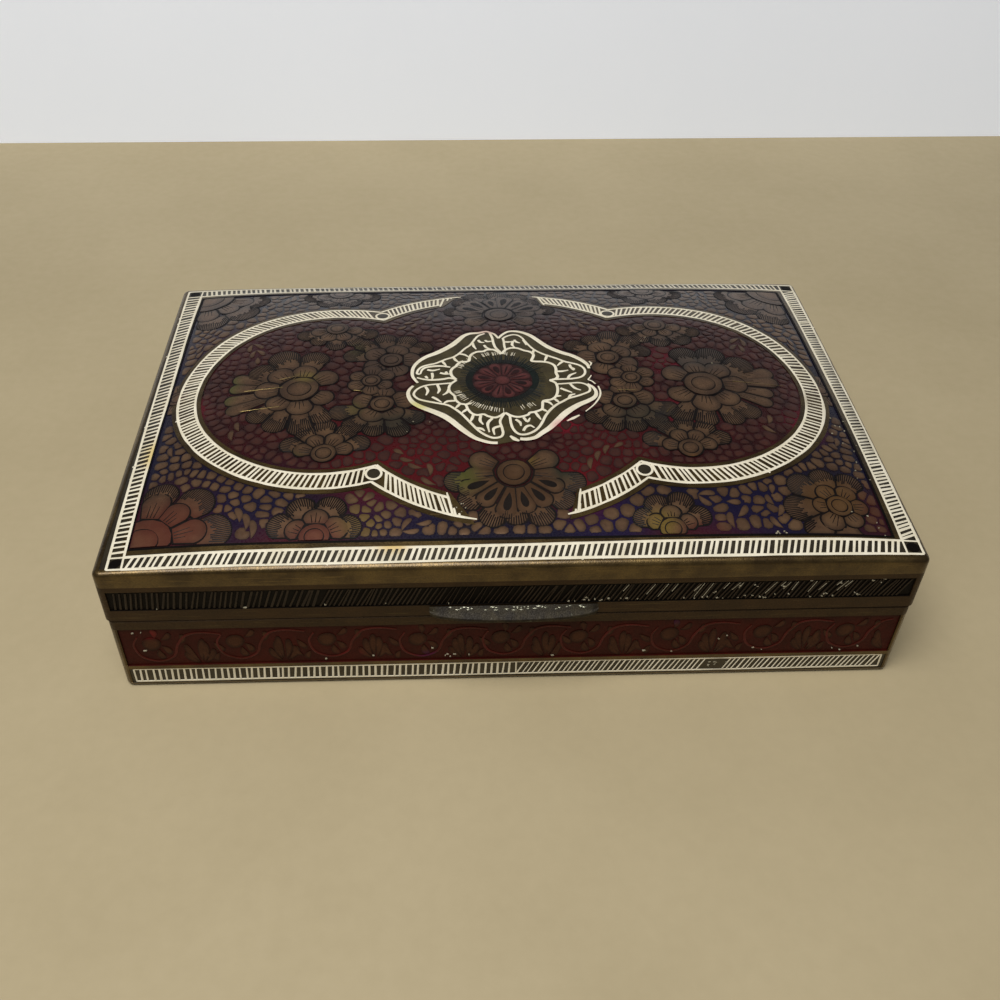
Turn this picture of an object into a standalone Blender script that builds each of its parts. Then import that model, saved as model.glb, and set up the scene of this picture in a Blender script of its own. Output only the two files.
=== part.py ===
"""Brass trinket box with an enamelled and gently crowned lid.

The origin is the middle of the underside, X runs along the box, Y from front to back and Z up.
All sizes are in metres. The box is three solids: the tray, the lid that rests on its ledge and
the thumb lip on the front of the lid. The enamel stands in shallow beds cut in the sheet.
"""

import math

import bmesh
import bpy

# Overall form, over the lid's sides
LENGTH = 0.152
WIDTH = 0.0995
TRAY_HEIGHT = 0.0187
LID_SKIRT = 0.01225
CROWN_RISE = 0.0054
EDGE_BOW = 0.0004
CORNER_RADIUS = 0.0015
EDGE_ROUND = 0.0010
FOOT_ROUND = 0.0010

# Sheet metal and fits
SHEET = 0.0012
FLOOR = 0.0012
TOP_SHEET = 0.0012
SEAM_GAP = 0.0003
TRAY_SETBACK = 0.00025
RIM_HEIGHT = 0.0050
RIM_LAP = 0.0060
RIM_SHEET = 0.0009
RIM_CLEARANCE = 0.0003

# Enamel beds on the sides
BED_DEPTH = 0.0004
PANEL_END = 0.0010
HATCH_FOOT_MARGIN = 0.0029
HATCH_TOP_MARGIN = 0.0046
LADDER_FOOT = 0.0011
LADDER_HEIGHT = 0.0040
LADDER_VINE_GAP = 0.0010
VINE_TOP_MARGIN = 0.0023

# Enamel beds on the lid's top
BORDER_INSET = 0.0014
BORDER_WIDTH = 0.0030
FIELD_MARGIN = 0.0015
CENTRE_SIDE_MARGIN = 0.0091
LOBE_SIDE_MARGIN = 0.0175
LOBE_END_MARGIN = 0.0077
CARTOUCHE_WIDTH = 0.0043
CARTOUCHE_EDGE = 0.0009
MEDALLION_REACH = 0.0203
MEDALLION_WAIST = 0.0164
MEDALLION_NOTCH = 0.0024
NOTCH_TURN = 5.0
RING_RADIUS = 0.0108
RING_SCALLOP = 0.0007
ROSETTE_RADIUS = 0.0063

# Thumb lip
LIP_LENGTH = 0.0314
LIP_REACH = 0.0024
LIP_END_REACH = 0.0007
LIP_ROOT_HEIGHT = 0.0024
LIP_END_HEIGHT = 0.0016
LIP_NOSE = 0.0009
LIP_NOSE_LIFT = 0.0005
LIP_NOSE_BULGE = 0.0004
LIP_TOP_MARGIN = 0.0001
LIP_GAP = 0.0003

# The crown is flat along the middle and falls away faster towards the ends than the sides
CROWN_POWER_X = 5.0
CROWN_POWER_Y = 2.7
CROWN_STRIP = 0.0050

# The crown's rings crowd towards the edge, and round off as they draw in
RING_CROWDING = 1.5
RING_ROUNDING = 0.25
TIGHTEST_RADIUS = 0.0003

# Facets
LONG_STEPS = 10
SHORT_STEPS = 6
CORNER_STEPS = 3
ROUND_STEPS = 3
CROWN_STEPS = 7
LOBE_STEPS = 28
CENTRE_STEPS = 10
MEDALLION_STEPS = 48
RING_LOBES = 10
STEPS_PER_LOBE = 4
LIP_STATIONS = 16
LIP_NOSE_STEPS = 4

# Finishes, as linear colours with their roughness and metallic share
BRASS_FINISH = ((0.23, 0.17, 0.08), 0.42, 1.0)
ENAMELLED_FINISH = ((0.16, 0.07, 0.06), 0.35, 0.8)
TINNED_FINISH = ((0.45, 0.44, 0.38), 0.45, 1.0)

# Flower heads left standing in the coloured ground, as shares of the lid: the centre along X in
# half lengths, along Y in half widths, the radius in half widths, and the number of petals
HEADS = (
    (0.575, 0.00, 0.265, 9),
    (0.320, 0.00, 0.235, 8),
    (0.480, 0.47, 0.130, 6),
    (0.860, 0.76, 0.190, 7),
    (0.450, 0.80, 0.150, 6),
)
PALMETTE_Y = 0.665
PALMETTE_RADIUS = 0.235
PALMETTE_PETALS = 9
PETAL_DEPTH = 0.13

half_length = LENGTH / 2
half_width = WIDTH / 2
lid_foot = TRAY_HEIGHT + SEAM_GAP
corner_height = lid_foot + LID_SKIRT
crown_top = corner_height + 2 * EDGE_BOW + CROWN_RISE
rim_inset = SHEET + RIM_CLEARANCE
tray_wall_inset = TRAY_SETBACK + SHEET
centre_radius = half_width - CENTRE_SIDE_MARGIN
lobe_radius = half_width - LOBE_SIDE_MARGIN
lobe_centre = half_length - LOBE_END_MARGIN - lobe_radius


def clear_scene():
    """Remove whatever the scene holds."""
    for old in list(bpy.data.objects):
        bpy.data.objects.remove(old, do_unlink=True)


def metal(name, colour, roughness, metallic):
    """A plain metal or enamel finish."""
    made = bpy.data.materials.new(name)
    made.use_nodes = True
    shader = made.node_tree.nodes["Principled BSDF"]
    shader.inputs["Base Color"].default_value = (*colour, 1.0)
    shader.inputs["Roughness"].default_value = roughness
    shader.inputs["Metallic"].default_value = metallic
    return made


def add_object(name, build, material=None):
    """A new object whose mesh the given function fills."""
    mesh = bpy.data.meshes.new(name)
    work = bmesh.new()
    build(work)
    bmesh.ops.recalc_face_normals(work, faces=work.faces)
    work.to_mesh(mesh)
    work.free()
    made = bpy.data.objects.new(name, mesh)
    bpy.context.scene.collection.objects.link(made)
    if material:
        mesh.materials.append(material)
    return made


def add_cutter(name, build):
    """A helper solid that only shapes other solids."""
    made = add_object(name, build)
    made.hide_render = True
    made.display_type = "WIRE"
    return made


def combine(target, other, operation):
    """Cut, join or intersect the target with another solid."""
    boolean = target.modifiers.new(other.name, "BOOLEAN")
    boolean.operation = operation
    boolean.solver = "EXACT"
    boolean.object = other


def smooth(made, angle=35.0):
    """Round faces shade as round, real corners stay crisp."""
    made.data.shade_smooth()
    made.data.set_sharp_from_angle(angle=math.radians(angle))


def crown(x, y):
    """Height of the lid's outer face above a point of the plan."""
    fall_x = 1 - min(abs(x) / half_length, 1.0) ** CROWN_POWER_X
    fall_y = 1 - min(abs(y) / half_width, 1.0) ** CROWN_POWER_Y
    return corner_height + EDGE_BOW * (fall_x + fall_y) + CROWN_RISE * fall_x * fall_y


def plan_ring(inset, radius):
    """The box's rounded rectangle, drawn in by an inset, anticlockwise."""
    half_x = half_length - inset
    half_y = half_width - inset
    radius = min(radius, half_y / 2)
    corners = ((1, -1), (1, 1), (-1, 1), (-1, -1))
    points = []
    for index, (side_x, side_y) in enumerate(corners):
        middle = (side_x * (half_x - radius), side_y * (half_y - radius))
        for step in range(CORNER_STEPS + 1):
            turn = math.radians(90 * (index - 1 + step / CORNER_STEPS))
            points.append((middle[0] + radius * math.cos(turn), middle[1] + radius * math.sin(turn)))
        after = corners[(index + 1) % 4]
        turn = math.radians(90 * index)
        start = points[-1]
        end = (
            after[0] * (half_x - radius) + radius * math.cos(turn),
            after[1] * (half_y - radius) + radius * math.sin(turn),
        )
        steps = SHORT_STEPS if index % 2 == 0 else LONG_STEPS
        for step in range(1, steps):
            share = step / steps
            points.append((start[0] + share * (end[0] - start[0]), start[1] + share * (end[1] - start[1])))
    return points


def flat_ring(inset, height):
    """A ring of the plan at one height, parallel to the outline."""
    return [(x, y, height) for x, y in plan_ring(inset, max(CORNER_RADIUS - inset, TIGHTEST_RADIUS))]


def crown_ring(inset, drop):
    """A ring of the plan that follows the crown, a given drop below it."""
    past_round = max(inset - EDGE_ROUND, 0.0)
    radius = max(CORNER_RADIUS - min(inset, EDGE_ROUND), TIGHTEST_RADIUS) + RING_ROUNDING * past_round
    return [(x, y, crown(x, y) - drop) for x, y in plan_ring(inset, radius)]


def crown_insets(first):
    """Insets of the crown's rings, closer together near the edge where it bends most."""
    last = half_width - CROWN_STRIP
    shares = [(step / CROWN_STEPS) ** RING_CROWDING for step in range(CROWN_STEPS + 1)]
    return [first + (last - first) * share for share in shares]


def loft(work, rings, cap):
    """Join rings of equal count into a closed skin."""
    levels = [[work.verts.new(point) for point in ring] for ring in rings]
    count = len(rings[0])
    for lower, upper in zip(levels, levels[1:]):
        for index in range(count):
            after = (index + 1) % count
            work.faces.new((lower[index], lower[after], upper[after], upper[index]))
    cap(work, levels[0])
    cap(work, levels[-1])


def cap_flat(work, ring):
    """Close a ring that lies in one plane."""
    work.faces.new(ring)


def cap_crowned(work, ring):
    """Close a thin ring along the middle of the crown with strips across it."""
    count = len(ring)
    start = CORNER_STEPS + SHORT_STEPS // 2
    work.faces.new((ring[start], ring[start + 1], ring[start - 1]))
    for step in range(1, count // 2 - 1):
        corners = (start + step, start + step + 1, start - step - 1, start - step)
        work.faces.new([ring[index % count] for index in corners])
    opposite = start + count // 2
    work.faces.new([ring[index % count] for index in (opposite - 1, opposite, opposite + 1)])


def build_tray(work):
    """The open tray: rounded foot, straight walls, ledge and the upstanding locating rim."""
    rings = []
    for step in range(ROUND_STEPS + 1):
        turn = math.radians(90 * step / ROUND_STEPS)
        inset = TRAY_SETBACK + FOOT_ROUND * (1 - math.sin(turn))
        rings.append(flat_ring(inset, FOOT_ROUND * (1 - math.cos(turn))))
    rings.append(flat_ring(TRAY_SETBACK, TRAY_HEIGHT))
    rings.append(flat_ring(rim_inset, TRAY_HEIGHT))
    rings.append(flat_ring(rim_inset, TRAY_HEIGHT + RIM_HEIGHT))
    rings.append(flat_ring(rim_inset + RIM_SHEET, TRAY_HEIGHT + RIM_HEIGHT))
    rings.append(flat_ring(rim_inset + RIM_SHEET, TRAY_HEIGHT - RIM_LAP))
    rings.append(flat_ring(tray_wall_inset, TRAY_HEIGHT - RIM_LAP))
    rings.append(flat_ring(tray_wall_inset, FLOOR))
    loft(work, rings, cap_flat)


def build_lid(work):
    """The lid: crowned top, rounded edge and a straight skirt, hollow underneath."""
    rings = [crown_ring(inset, 0.0) for inset in reversed(crown_insets(EDGE_ROUND))]
    for step in range(1, ROUND_STEPS + 1):
        turn = math.radians(90 * step / ROUND_STEPS)
        inset = EDGE_ROUND * (1 - math.sin(turn))
        rings.append(crown_ring(inset, EDGE_ROUND * (1 - math.cos(turn))))
    rings.append(flat_ring(0.0, lid_foot))
    rings.append(flat_ring(SHEET, lid_foot))
    rings += [crown_ring(inset, TOP_SHEET) for inset in crown_insets(SHEET)]
    loft(work, rings, cap_crowned)


def build_enamel_slab(work):
    """The space over the lid's top down to the bottom of the enamel beds."""
    rings = [crown_ring(inset, BED_DEPTH) for inset in reversed(crown_insets(EDGE_ROUND))]
    over = crown_top + 2 * SHEET
    rings += [[(x, y, over) for x, y, _ in crown_ring(inset, 0.0)] for inset in crown_insets(EDGE_ROUND)]
    loft(work, rings, cap_crowned)


def prism(outline, hole=None, overshoot=0.0):
    """A builder for an upright prism through the lid's top, with a hole of equal point count."""

    def build(work):
        low = corner_height - SHEET - overshoot
        high = crown_top + SHEET / 2 + overshoot
        bottom = [work.verts.new((x, y, low)) for x, y in outline]
        top = [work.verts.new((x, y, high)) for x, y in outline]
        count = len(outline)
        for index in range(count):
            after = (index + 1) % count
            work.faces.new((bottom[index], bottom[after], top[after], top[index]))
        if hole is None:
            work.faces.new(list(reversed(bottom)))
            work.faces.new(top)
            return
        inner_bottom = [work.verts.new((x, y, low)) for x, y in hole]
        inner_top = [work.verts.new((x, y, high)) for x, y in hole]
        for index in range(count):
            after = (index + 1) % count
            work.faces.new((inner_bottom[after], inner_bottom[index], inner_top[index], inner_top[after]))
            work.faces.new((bottom[after], bottom[index], inner_bottom[index], inner_bottom[after]))
            work.faces.new((top[index], top[after], inner_top[after], inner_top[index]))

    return build


def rectangle(inset):
    """The lid's plan as four square corners, drawn in by an inset."""
    half_x = half_length - inset
    half_y = half_width - inset
    return [(half_x, -half_y), (half_x, half_y), (-half_x, half_y), (-half_x, -half_y)]


def cartouche(grow):
    """Outline of one large circle and two smaller ones beside it, grown by a distance."""
    big = centre_radius + grow
    small = lobe_radius + grow
    cross = (big ** 2 - small ** 2 + lobe_centre ** 2) / (2 * lobe_centre)
    lobe_turn = math.acos((cross - lobe_centre) / small)
    centre_turn = math.acos(cross / big)
    points = []
    for side in (0.0, math.pi):
        middle = lobe_centre * math.cos(side)
        for step in range(LOBE_STEPS):
            turn = side - lobe_turn + 2 * lobe_turn * step / LOBE_STEPS
            points.append((middle + small * math.cos(turn), small * math.sin(turn)))
        for step in range(CENTRE_STEPS):
            turn = side + centre_turn + (math.pi - 2 * centre_turn) * step / CENTRE_STEPS
            points.append((big * math.cos(turn), big * math.sin(turn)))
    return points


def polar(middle, steps, radius_at):
    """A closed outline whose radius is a function of the turn."""
    turns = [2 * math.pi * step / steps for step in range(steps)]
    return [
        (middle[0] + radius_at(turn) * math.cos(turn), middle[1] + radius_at(turn) * math.sin(turn))
        for turn in turns
    ]


def medallion_radius(turn):
    """Four pairs of rounded lobes, with a notch between the lobes of each pair."""
    swell = (MEDALLION_REACH - MEDALLION_WAIST) / 2
    middle = (MEDALLION_REACH + MEDALLION_WAIST) / 2
    off_axis = abs((turn + math.pi / 4) % (math.pi / 2) - math.pi / 4)
    notch = MEDALLION_NOTCH * math.exp(-(math.degrees(off_axis) / NOTCH_TURN) ** 2)
    return middle + swell * math.cos(4 * turn) - notch


def petal_outline(middle, radius, petals, depth):
    """A round flower head with a scalloped edge."""

    def radius_at(turn):
        return radius - depth * (1 - abs(math.cos(petals * turn / 2)))

    return polar(middle, petals * STEPS_PER_LOBE, radius_at)


def heads_outlines():
    """The flower heads in all four quarters, and the palmettes on the short axis."""
    outlines = []
    for share_x, share_y, share_radius, petals in HEADS:
        radius = share_radius * half_width
        quarters = ((1, 1), (-1, 1)) if share_y == 0 else ((1, 1), (-1, 1), (1, -1), (-1, -1))
        for side_x, side_y in quarters:
            middle = (side_x * share_x * half_length, side_y * share_y * half_width)
            outlines.append(petal_outline(middle, radius, petals, PETAL_DEPTH * radius))
    radius = PALMETTE_RADIUS * half_width
    for side in (1, -1):
        middle = (0.0, side * PALMETTE_Y * half_width)
        outlines.append(petal_outline(middle, radius, PALMETTE_PETALS, PETAL_DEPTH * radius))
    return outlines


def side_panels(foot, height, inset):
    """A builder for four boxes that sink a panel into the sides, one on each face."""
    half_x = half_length - inset
    half_y = half_width - inset
    end_x = half_x - PANEL_END - CORNER_RADIUS / 2
    end_y = half_y - PANEL_END - CORNER_RADIUS / 2

    def build(work):
        spans = (
            ((-end_x, half_y - BED_DEPTH), (end_x, half_y + SHEET)),
            ((half_x - BED_DEPTH, -end_y), (half_x + SHEET, end_y)),
        )
        for (low_x, low_y), (high_x, high_y) in spans:
            corners = [(low_x, low_y), (high_x, low_y), (high_x, high_y), (low_x, high_y)]
            for side in (1, -1):
                bottom = [work.verts.new((side * x, side * y, foot)) for x, y in corners]
                top = [work.verts.new((side * x, side * y, foot + height)) for x, y in corners]
                work.faces.new(list(reversed(bottom)))
                work.faces.new(top)
                for index in range(4):
                    after = (index + 1) % 4
                    work.faces.new((bottom[index], bottom[after], top[after], top[index]))

    return build


def build_lip(work):
    """The soldered thumb lip: a low crescent with a sloping top and a rounded nose."""
    root = -half_width - LIP_GAP
    top = lid_foot + HATCH_FOOT_MARGIN - LIP_TOP_MARGIN
    sections = []
    for station in range(LIP_STATIONS + 1):
        along = -1 + 2 * station / LIP_STATIONS
        swell = 1 - along ** 2
        reach = LIP_END_REACH + (LIP_REACH - LIP_END_REACH) * swell
        height = LIP_END_HEIGHT + (LIP_ROOT_HEIGHT - LIP_END_HEIGHT) * swell
        nose = top - height + LIP_NOSE_LIFT
        x = along * LIP_LENGTH / 2
        section = [(x, root, top), (x, root, top - height)]
        for step in range(LIP_NOSE_STEPS + 1):
            turn = math.radians(-90 + 180 * step / LIP_NOSE_STEPS)
            out = reach - LIP_NOSE_BULGE * (1 - math.cos(turn))
            section.append((x, root - out, nose + LIP_NOSE / 2 * math.sin(turn)))
        sections.append(section)
    loft(work, sections, cap_flat)


def carve_lid(lid):
    """Sink the border, the cartouche band, the coloured grounds and the medallion's ring."""
    sunk = add_cutter("lid_top_beds", build_enamel_slab)
    border_end = BORDER_INSET + BORDER_WIDTH
    border = add_cutter("border_bed", prism(rectangle(BORDER_INSET), rectangle(border_end)))
    band = add_cutter("cartouche_bed", prism(cartouche(0.0), cartouche(-CARTOUCHE_WIDTH)))
    field = add_cutter("outer_ground", prism(rectangle(border_end + FIELD_MARGIN)))
    rim = add_cutter("cartouche_rim", prism(cartouche(CARTOUCHE_EDGE), overshoot=SHEET))
    combine(field, rim, "DIFFERENCE")
    inner = add_cutter("inner_ground", prism(cartouche(-CARTOUCHE_WIDTH - CARTOUCHE_EDGE)))
    medallion_outline = polar((0.0, 0.0), MEDALLION_STEPS, medallion_radius)
    combine(inner, add_cutter("medallion", prism(medallion_outline, overshoot=SHEET)), "DIFFERENCE")
    for number, outline in enumerate(heads_outlines(), start=1):
        head = add_cutter(f"flower_head_{number}", prism(outline, overshoot=SHEET))
        for bed in (band, field, inner):
            combine(bed, head, "DIFFERENCE")
    ring_outline = petal_outline((0.0, 0.0), RING_RADIUS, RING_LOBES, RING_SCALLOP)
    rosette = polar((0.0, 0.0), RING_LOBES * STEPS_PER_LOBE, lambda turn: ROSETTE_RADIUS)
    ring = add_cutter("fringe_ring", prism(ring_outline, rosette))
    for bed in (border, band, field, inner, ring):
        combine(bed, sunk, "INTERSECT")
        combine(lid, bed, "DIFFERENCE")


def main():
    """Build the tray, the lid and the thumb lip."""
    clear_scene()
    brass = metal("aged_brass", *BRASS_FINISH)
    lid_brass = metal("enamelled_brass", *ENAMELLED_FINISH)
    solder = metal("worn_tinned_brass", *TINNED_FINISH)

    tray = add_object("tray", build_tray, brass)
    vine_foot = LADDER_FOOT + LADDER_HEIGHT + LADDER_VINE_GAP
    vine_height = TRAY_HEIGHT - VINE_TOP_MARGIN - vine_foot
    ladder = side_panels(LADDER_FOOT, LADDER_HEIGHT, TRAY_SETBACK)
    vine = side_panels(vine_foot, vine_height, TRAY_SETBACK)
    combine(tray, add_cutter("ladder_beds", ladder), "DIFFERENCE")
    combine(tray, add_cutter("vine_beds", vine), "DIFFERENCE")
    smooth(tray)

    lid = add_object("lid", build_lid, lid_brass)
    hatch_height = LID_SKIRT - HATCH_FOOT_MARGIN - HATCH_TOP_MARGIN
    hatch = side_panels(lid_foot + HATCH_FOOT_MARGIN, hatch_height, 0.0)
    combine(lid, add_cutter("hatch_beds", hatch), "DIFFERENCE")
    carve_lid(lid)
    smooth(lid)

    lip = add_object("thumb_lip", build_lip, solder)
    smooth(lip)


main()
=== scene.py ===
"""Looks of a brass trinket box: engraved, filled with enamel and gently crowned.

Drawings are made flat in millimetres, as x, y and relief, and are then laid on the lid's crown or
on one of the upright sides. Meshes are written in metres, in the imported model's own frame.
"""

import logging
from collections.abc import Callable, Iterator, Sequence
from dataclasses import dataclass, field, replace
from enum import Enum
from functools import cache
from math import atan2, cos, degrees, dist, hypot, pi, radians, sin, sqrt, tan
from typing import NamedTuple

import bpy
import numpy as np
from mathutils import Matrix, Vector


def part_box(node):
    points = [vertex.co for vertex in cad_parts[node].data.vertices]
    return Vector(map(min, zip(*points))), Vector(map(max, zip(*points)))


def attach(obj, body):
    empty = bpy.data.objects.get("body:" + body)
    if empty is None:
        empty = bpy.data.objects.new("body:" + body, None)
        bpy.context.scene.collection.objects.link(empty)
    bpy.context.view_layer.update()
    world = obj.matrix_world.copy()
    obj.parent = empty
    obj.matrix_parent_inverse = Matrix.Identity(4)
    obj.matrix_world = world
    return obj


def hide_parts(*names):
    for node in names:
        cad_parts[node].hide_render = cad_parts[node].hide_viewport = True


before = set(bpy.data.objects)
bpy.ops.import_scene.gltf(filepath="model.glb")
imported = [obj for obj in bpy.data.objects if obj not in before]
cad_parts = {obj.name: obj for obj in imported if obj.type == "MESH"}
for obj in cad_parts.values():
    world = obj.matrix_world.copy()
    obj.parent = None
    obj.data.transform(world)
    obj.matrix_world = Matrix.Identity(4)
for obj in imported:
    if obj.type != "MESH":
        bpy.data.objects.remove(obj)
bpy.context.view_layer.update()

LOG = logging.getLogger("trinket_box")
MM = 0.001
BODY = "root"
Point = tuple[float, float]
Array, Rng = np.ndarray, np.random.Generator
Tree, Socket, Mesh = bpy.types.NodeTree, bpy.types.NodeSocket, bpy.types.Mesh
Value = Socket | float | tuple[float, ...]


class Slot(Enum):
    """The record's material slots."""

    TRAY = "tray_brass"
    LID = "lid_brass"
    LIP = "lip_brass"


class Quarter(Enum):
    """The four upright sides, by quarter turns from the front."""

    FRONT = 0
    RIGHT = 1
    BACK = 2
    LEFT = 3


def linear(code: str) -> tuple[float, float, float, float]:
    """Turn an sRGB hex colour into linear values.

    Args:
        code: The colour as a hash sign and six hex digits.

    Returns:
        Red, green, blue and a full alpha.
    """
    shares = [int(code[place:place + 2], 16) / 255 for place in (1, 3, 5)]
    values = [v / 12.92 if v <= 0.04045 else ((v + 0.055) / 1.055) ** 2.4 for v in shares]
    return (values[0], values[1], values[2], 1.0)


def add_node(tree: Tree, kind: str, inputs: dict | None = None, **settings) -> bpy.types.Node:
    """Add a node with its settings, its values and its links.

    Args:
        tree: The node tree.
        kind: The node's type.
        inputs: Values or output sockets, by the input's name or number.
        **settings: Properties of the node.

    Returns:
        The new node.
    """
    made = tree.nodes.new(kind)
    for name, value in settings.items():
        setattr(made, name, value)
    for key, value in (inputs or {}).items():
        if isinstance(value, Socket):
            tree.links.new(value, made.inputs[key])
        else:
            made.inputs[key].default_value = value
    return made


@dataclass(frozen=True)
class Finish:
    """One real material: two tones in patches, fine grain, streaks, specks and wear at the rims.

    Lengths are in millimetres. `rim` is the tone of a pad's edge, and a colour attribute lets painted patches through:
    stains, and a painted reflection across the lid's back.
    """

    name: str
    main: str
    second: str
    patch: float = 6.0
    grain: float = 0.35
    grain_depth: float = 0.25
    streak: str = "#000000"
    streak_length: float = 8.0
    streak_share: float = 0.0
    speck: str = "#000000"
    speck_size: float = 0.5
    speck_share: float = 0.0
    rim: str = "#000000"
    rim_share: float = 0.0
    metallic: float = 0.0
    roughness: float = 0.4
    roughness_swing: float = 0.12
    specular: float = 0.5
    coat: float = 0.0
    coat_roughness: float = 0.15
    bump: float = 0.02
    glaze_and_sheen: bool = False
    glow: float = 0.0

    def mix(self, tree: Tree, share: Value, under: Value, over: Value | str) -> Socket:
        """Lay one colour over another by a share, and return the mixed colour."""
        over = linear(over) if isinstance(over, str) else over
        return add_node(tree, "ShaderNodeMix", {0: share, 6: under, 7: over}, data_type="RGBA").outputs[2]

    def range_of(self, tree: Tree, value: Value, low: float, high: float, to: Point) -> Socket:
        """Map a stretch of a value to another range, clamped."""
        inputs = {0: value, 1: low, 2: high, 3: to[0], 4: to[1]}
        return add_node(tree, "ShaderNodeMapRange", inputs).outputs[0]

    def noise(self, tree: Tree, place: Value, size: float, detail: float = 3.0, roughness: float = 0.5) -> Socket:
        """Soft noise with features of a size in the place's units."""
        return add_node(
            tree, "ShaderNodeTexNoise", {"Vector": place, "Scale": 1 / size, "Detail": detail,
            "Roughness": roughness}).outputs[0]

    def build(self) -> bpy.types.Material:
        """Make the material.

        Returns:
            The material, or the one made before under this name.
        """
        if self.name in bpy.data.materials:
            return bpy.data.materials[self.name]
        material = bpy.data.materials.new(self.name)
        material.use_nodes = True
        tree = material.node_tree
        shader = tree.nodes["Principled BSDF"]
        coordinates = add_node(tree, "ShaderNodeTexCoord").outputs["Object"]
        place = add_node(tree, "ShaderNodeMapping", {"Vector": coordinates, "Scale": (1 / MM,) * 3}).outputs[0]
        patches = self.noise(tree, place, self.patch, 5.0, 0.6)
        grains = self.noise(tree, place, self.grain)
        share = self.range_of(tree, patches, 0.38, 0.62, (0.0, 1.0))
        colour = self.mix(tree, share, linear(self.main), self.second)
        shade = self.range_of(tree, grains, 0.3, 0.7, (0.0, self.grain_depth))
        colour = self.mix(tree, shade, colour, (0.004, 0.003, 0.002, 1.0))
        if self.streak_share:
            turned = add_node(
                tree, "ShaderNodeMapping", {"Vector": place, "Rotation": (0.3, 0.2,
                0.5), "Scale": (1 / self.streak_length, 3.0, 3.0)}).outputs[0]
            drawn = self.range_of(tree, self.noise(tree, turned, 1.0, 2.0), 0.62, 0.70, (0.0, self.streak_share))
            colour = self.mix(tree, drawn, colour, self.streak)
        if self.rim_share:
            edge = add_node(tree, "ShaderNodeAttribute", attribute_name="rim").outputs["Fac"]
            colour = self.mix(tree, self.range_of(tree, edge, 0.55, 1.0, (0.0, self.rim_share)), colour, self.rim)
        # Patches laid over the colour: stains, and a painted reflection across the lid's back
        if self.glaze_and_sheen:
            colour_patch = add_node(tree, "ShaderNodeAttribute", attribute_name="glaze_and_sheen")
            colour = self.mix(tree, colour_patch.outputs["Alpha"], colour, colour_patch.outputs["Color"])
        if self.speck_share:
            spots = self.noise(tree, place, self.speck_size, 4.0, 0.7)
            found = self.range_of(tree, spots, 0.66, 0.70, (0.0, self.speck_share))
            colour = self.mix(tree, found, colour, self.speck)
        swing = (self.roughness - self.roughness_swing, self.roughness + self.roughness_swing)
        height = add_node(tree, "ShaderNodeMath", {0: patches, 1: grains}, operation="ADD").outputs[0]
        bump = add_node(tree, "ShaderNodeBump", {"Height": height, "Distance": self.bump * MM, "Strength": 1.0})
        tree.links.new(colour, shader.inputs["Base Color"])
        tree.links.new(self.range_of(tree, grains, 0.3, 0.7, swing), shader.inputs["Roughness"])
        tree.links.new(bump.outputs[0], shader.inputs["Normal"])
        uniform = {
            "Emission Color": linear(self.main), "Emission Strength": self.glow, "Metallic": self.metallic,
            "Specular IOR Level": self.specular, "Coat Weight": self.coat, "Coat Roughness": self.coat_roughness}
        for label, value in uniform.items():
            shader.inputs[label].default_value = value
        return material


# Sheet brass, raised by hand, gone olive under old lacquer: dull and warm, with rubbed streaks
AGED_BRASS = Finish(
    "aged_raised_brass", "#66522a", "#453416", patch=7.0, streak="#8d7442", streak_share=0.3, speck="#120d06",
    speck_share=0.5, metallic=0.75, roughness=0.36, coat=0.4, coat_roughness=0.2, bump=0.03)
# The same sheet, duller, with its colour darkened as painted shade: the skirt below the hatched band, the strip just
# above it, and the tray's strip by the seam
SHADED_DULL_BRASS = Finish(
    "dulled_brass_painted_shade", "#3e2b14", "#33230f", patch=7.0, streak="#6b5c38", streak_share=0.2, metallic=0.6,
    roughness=0.42, bump=0.03)
# The same brass cut back by the engraver: petals, leaves and cells, darker at their cut rims
ENGRAVED_BRASS = Finish(
    "engraved_lacquered_brass", "#76593f", "#5e4430", patch=4.0, grain=0.25, rim="#150e08", rim_share=0.5, metallic=0.5,
    roughness=0.42, coat=0.25, coat_roughness=0.16, bump=0.012, glaze_and_sheen=True)
# Ground between the cells, filled with transparent crimson enamel: deep, wet looking, pooled in patches
CRIMSON_ENAMEL = Finish(
    "fired_crimson_enamel", "#34070a", "#200606", patch=5.0, grain_depth=0.15, roughness=0.34, specular=0.28, coat=0.22,
    coat_roughness=0.12, bump=0.015, glaze_and_sheen=True)
# Ground outside the cartouche, filled with dark blue enamel that leans to purple where it lies thin
NAVY_ENAMEL = Finish(
    "fired_navy_enamel", "#0b0822", "#140916", patch=6.0, grain_depth=0.2, roughness=0.34, specular=0.28, coat=0.22,
    coat_roughness=0.12, bump=0.015, glaze_and_sheen=True)
# Black fill of the hatched band and of the engraved contours: soot black with a dull gloss
BLACK_ENAMEL = Finish("black_fill_enamel", "#070403", "#0c0704", patch=3.0, roughness=0.5, specular=0.1, bump=0.01)
# Chalky cream paste pressed in the cut lines: matt, with specks of grey dirt in pits
CREAM_PASTE = Finish(
    "pressed_cream_paste", "#f6eed8", "#e8dfc6", patch=3.0, grain=0.2, grain_depth=0.1, speck="#6b5a40", speck_size=0.7,
    speck_share=0.6, roughness=0.55, bump=0.02, glaze_and_sheen=True)
# Vine band on the tray: dark red enamel that lets the brass show as brown
WINE_ENAMEL = Finish(
    "fired_wine_enamel", "#400e08", "#340b06", patch=5.0, grain_depth=0.2, roughness=0.45, specular=0.12, bump=0.015,
    glaze_and_sheen=True)
# Vine leaves: brass under the same dark red glaze, brown with a faint rim
GLAZED_BRASS = Finish(
    "red_glazed_brass", "#4a2918", "#3e2012", patch=3.0, rim="#1c0503", rim_share=0.8, metallic=0.2, roughness=0.45,
    specular=0.15, bump=0.012, glaze_and_sheen=True)
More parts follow.
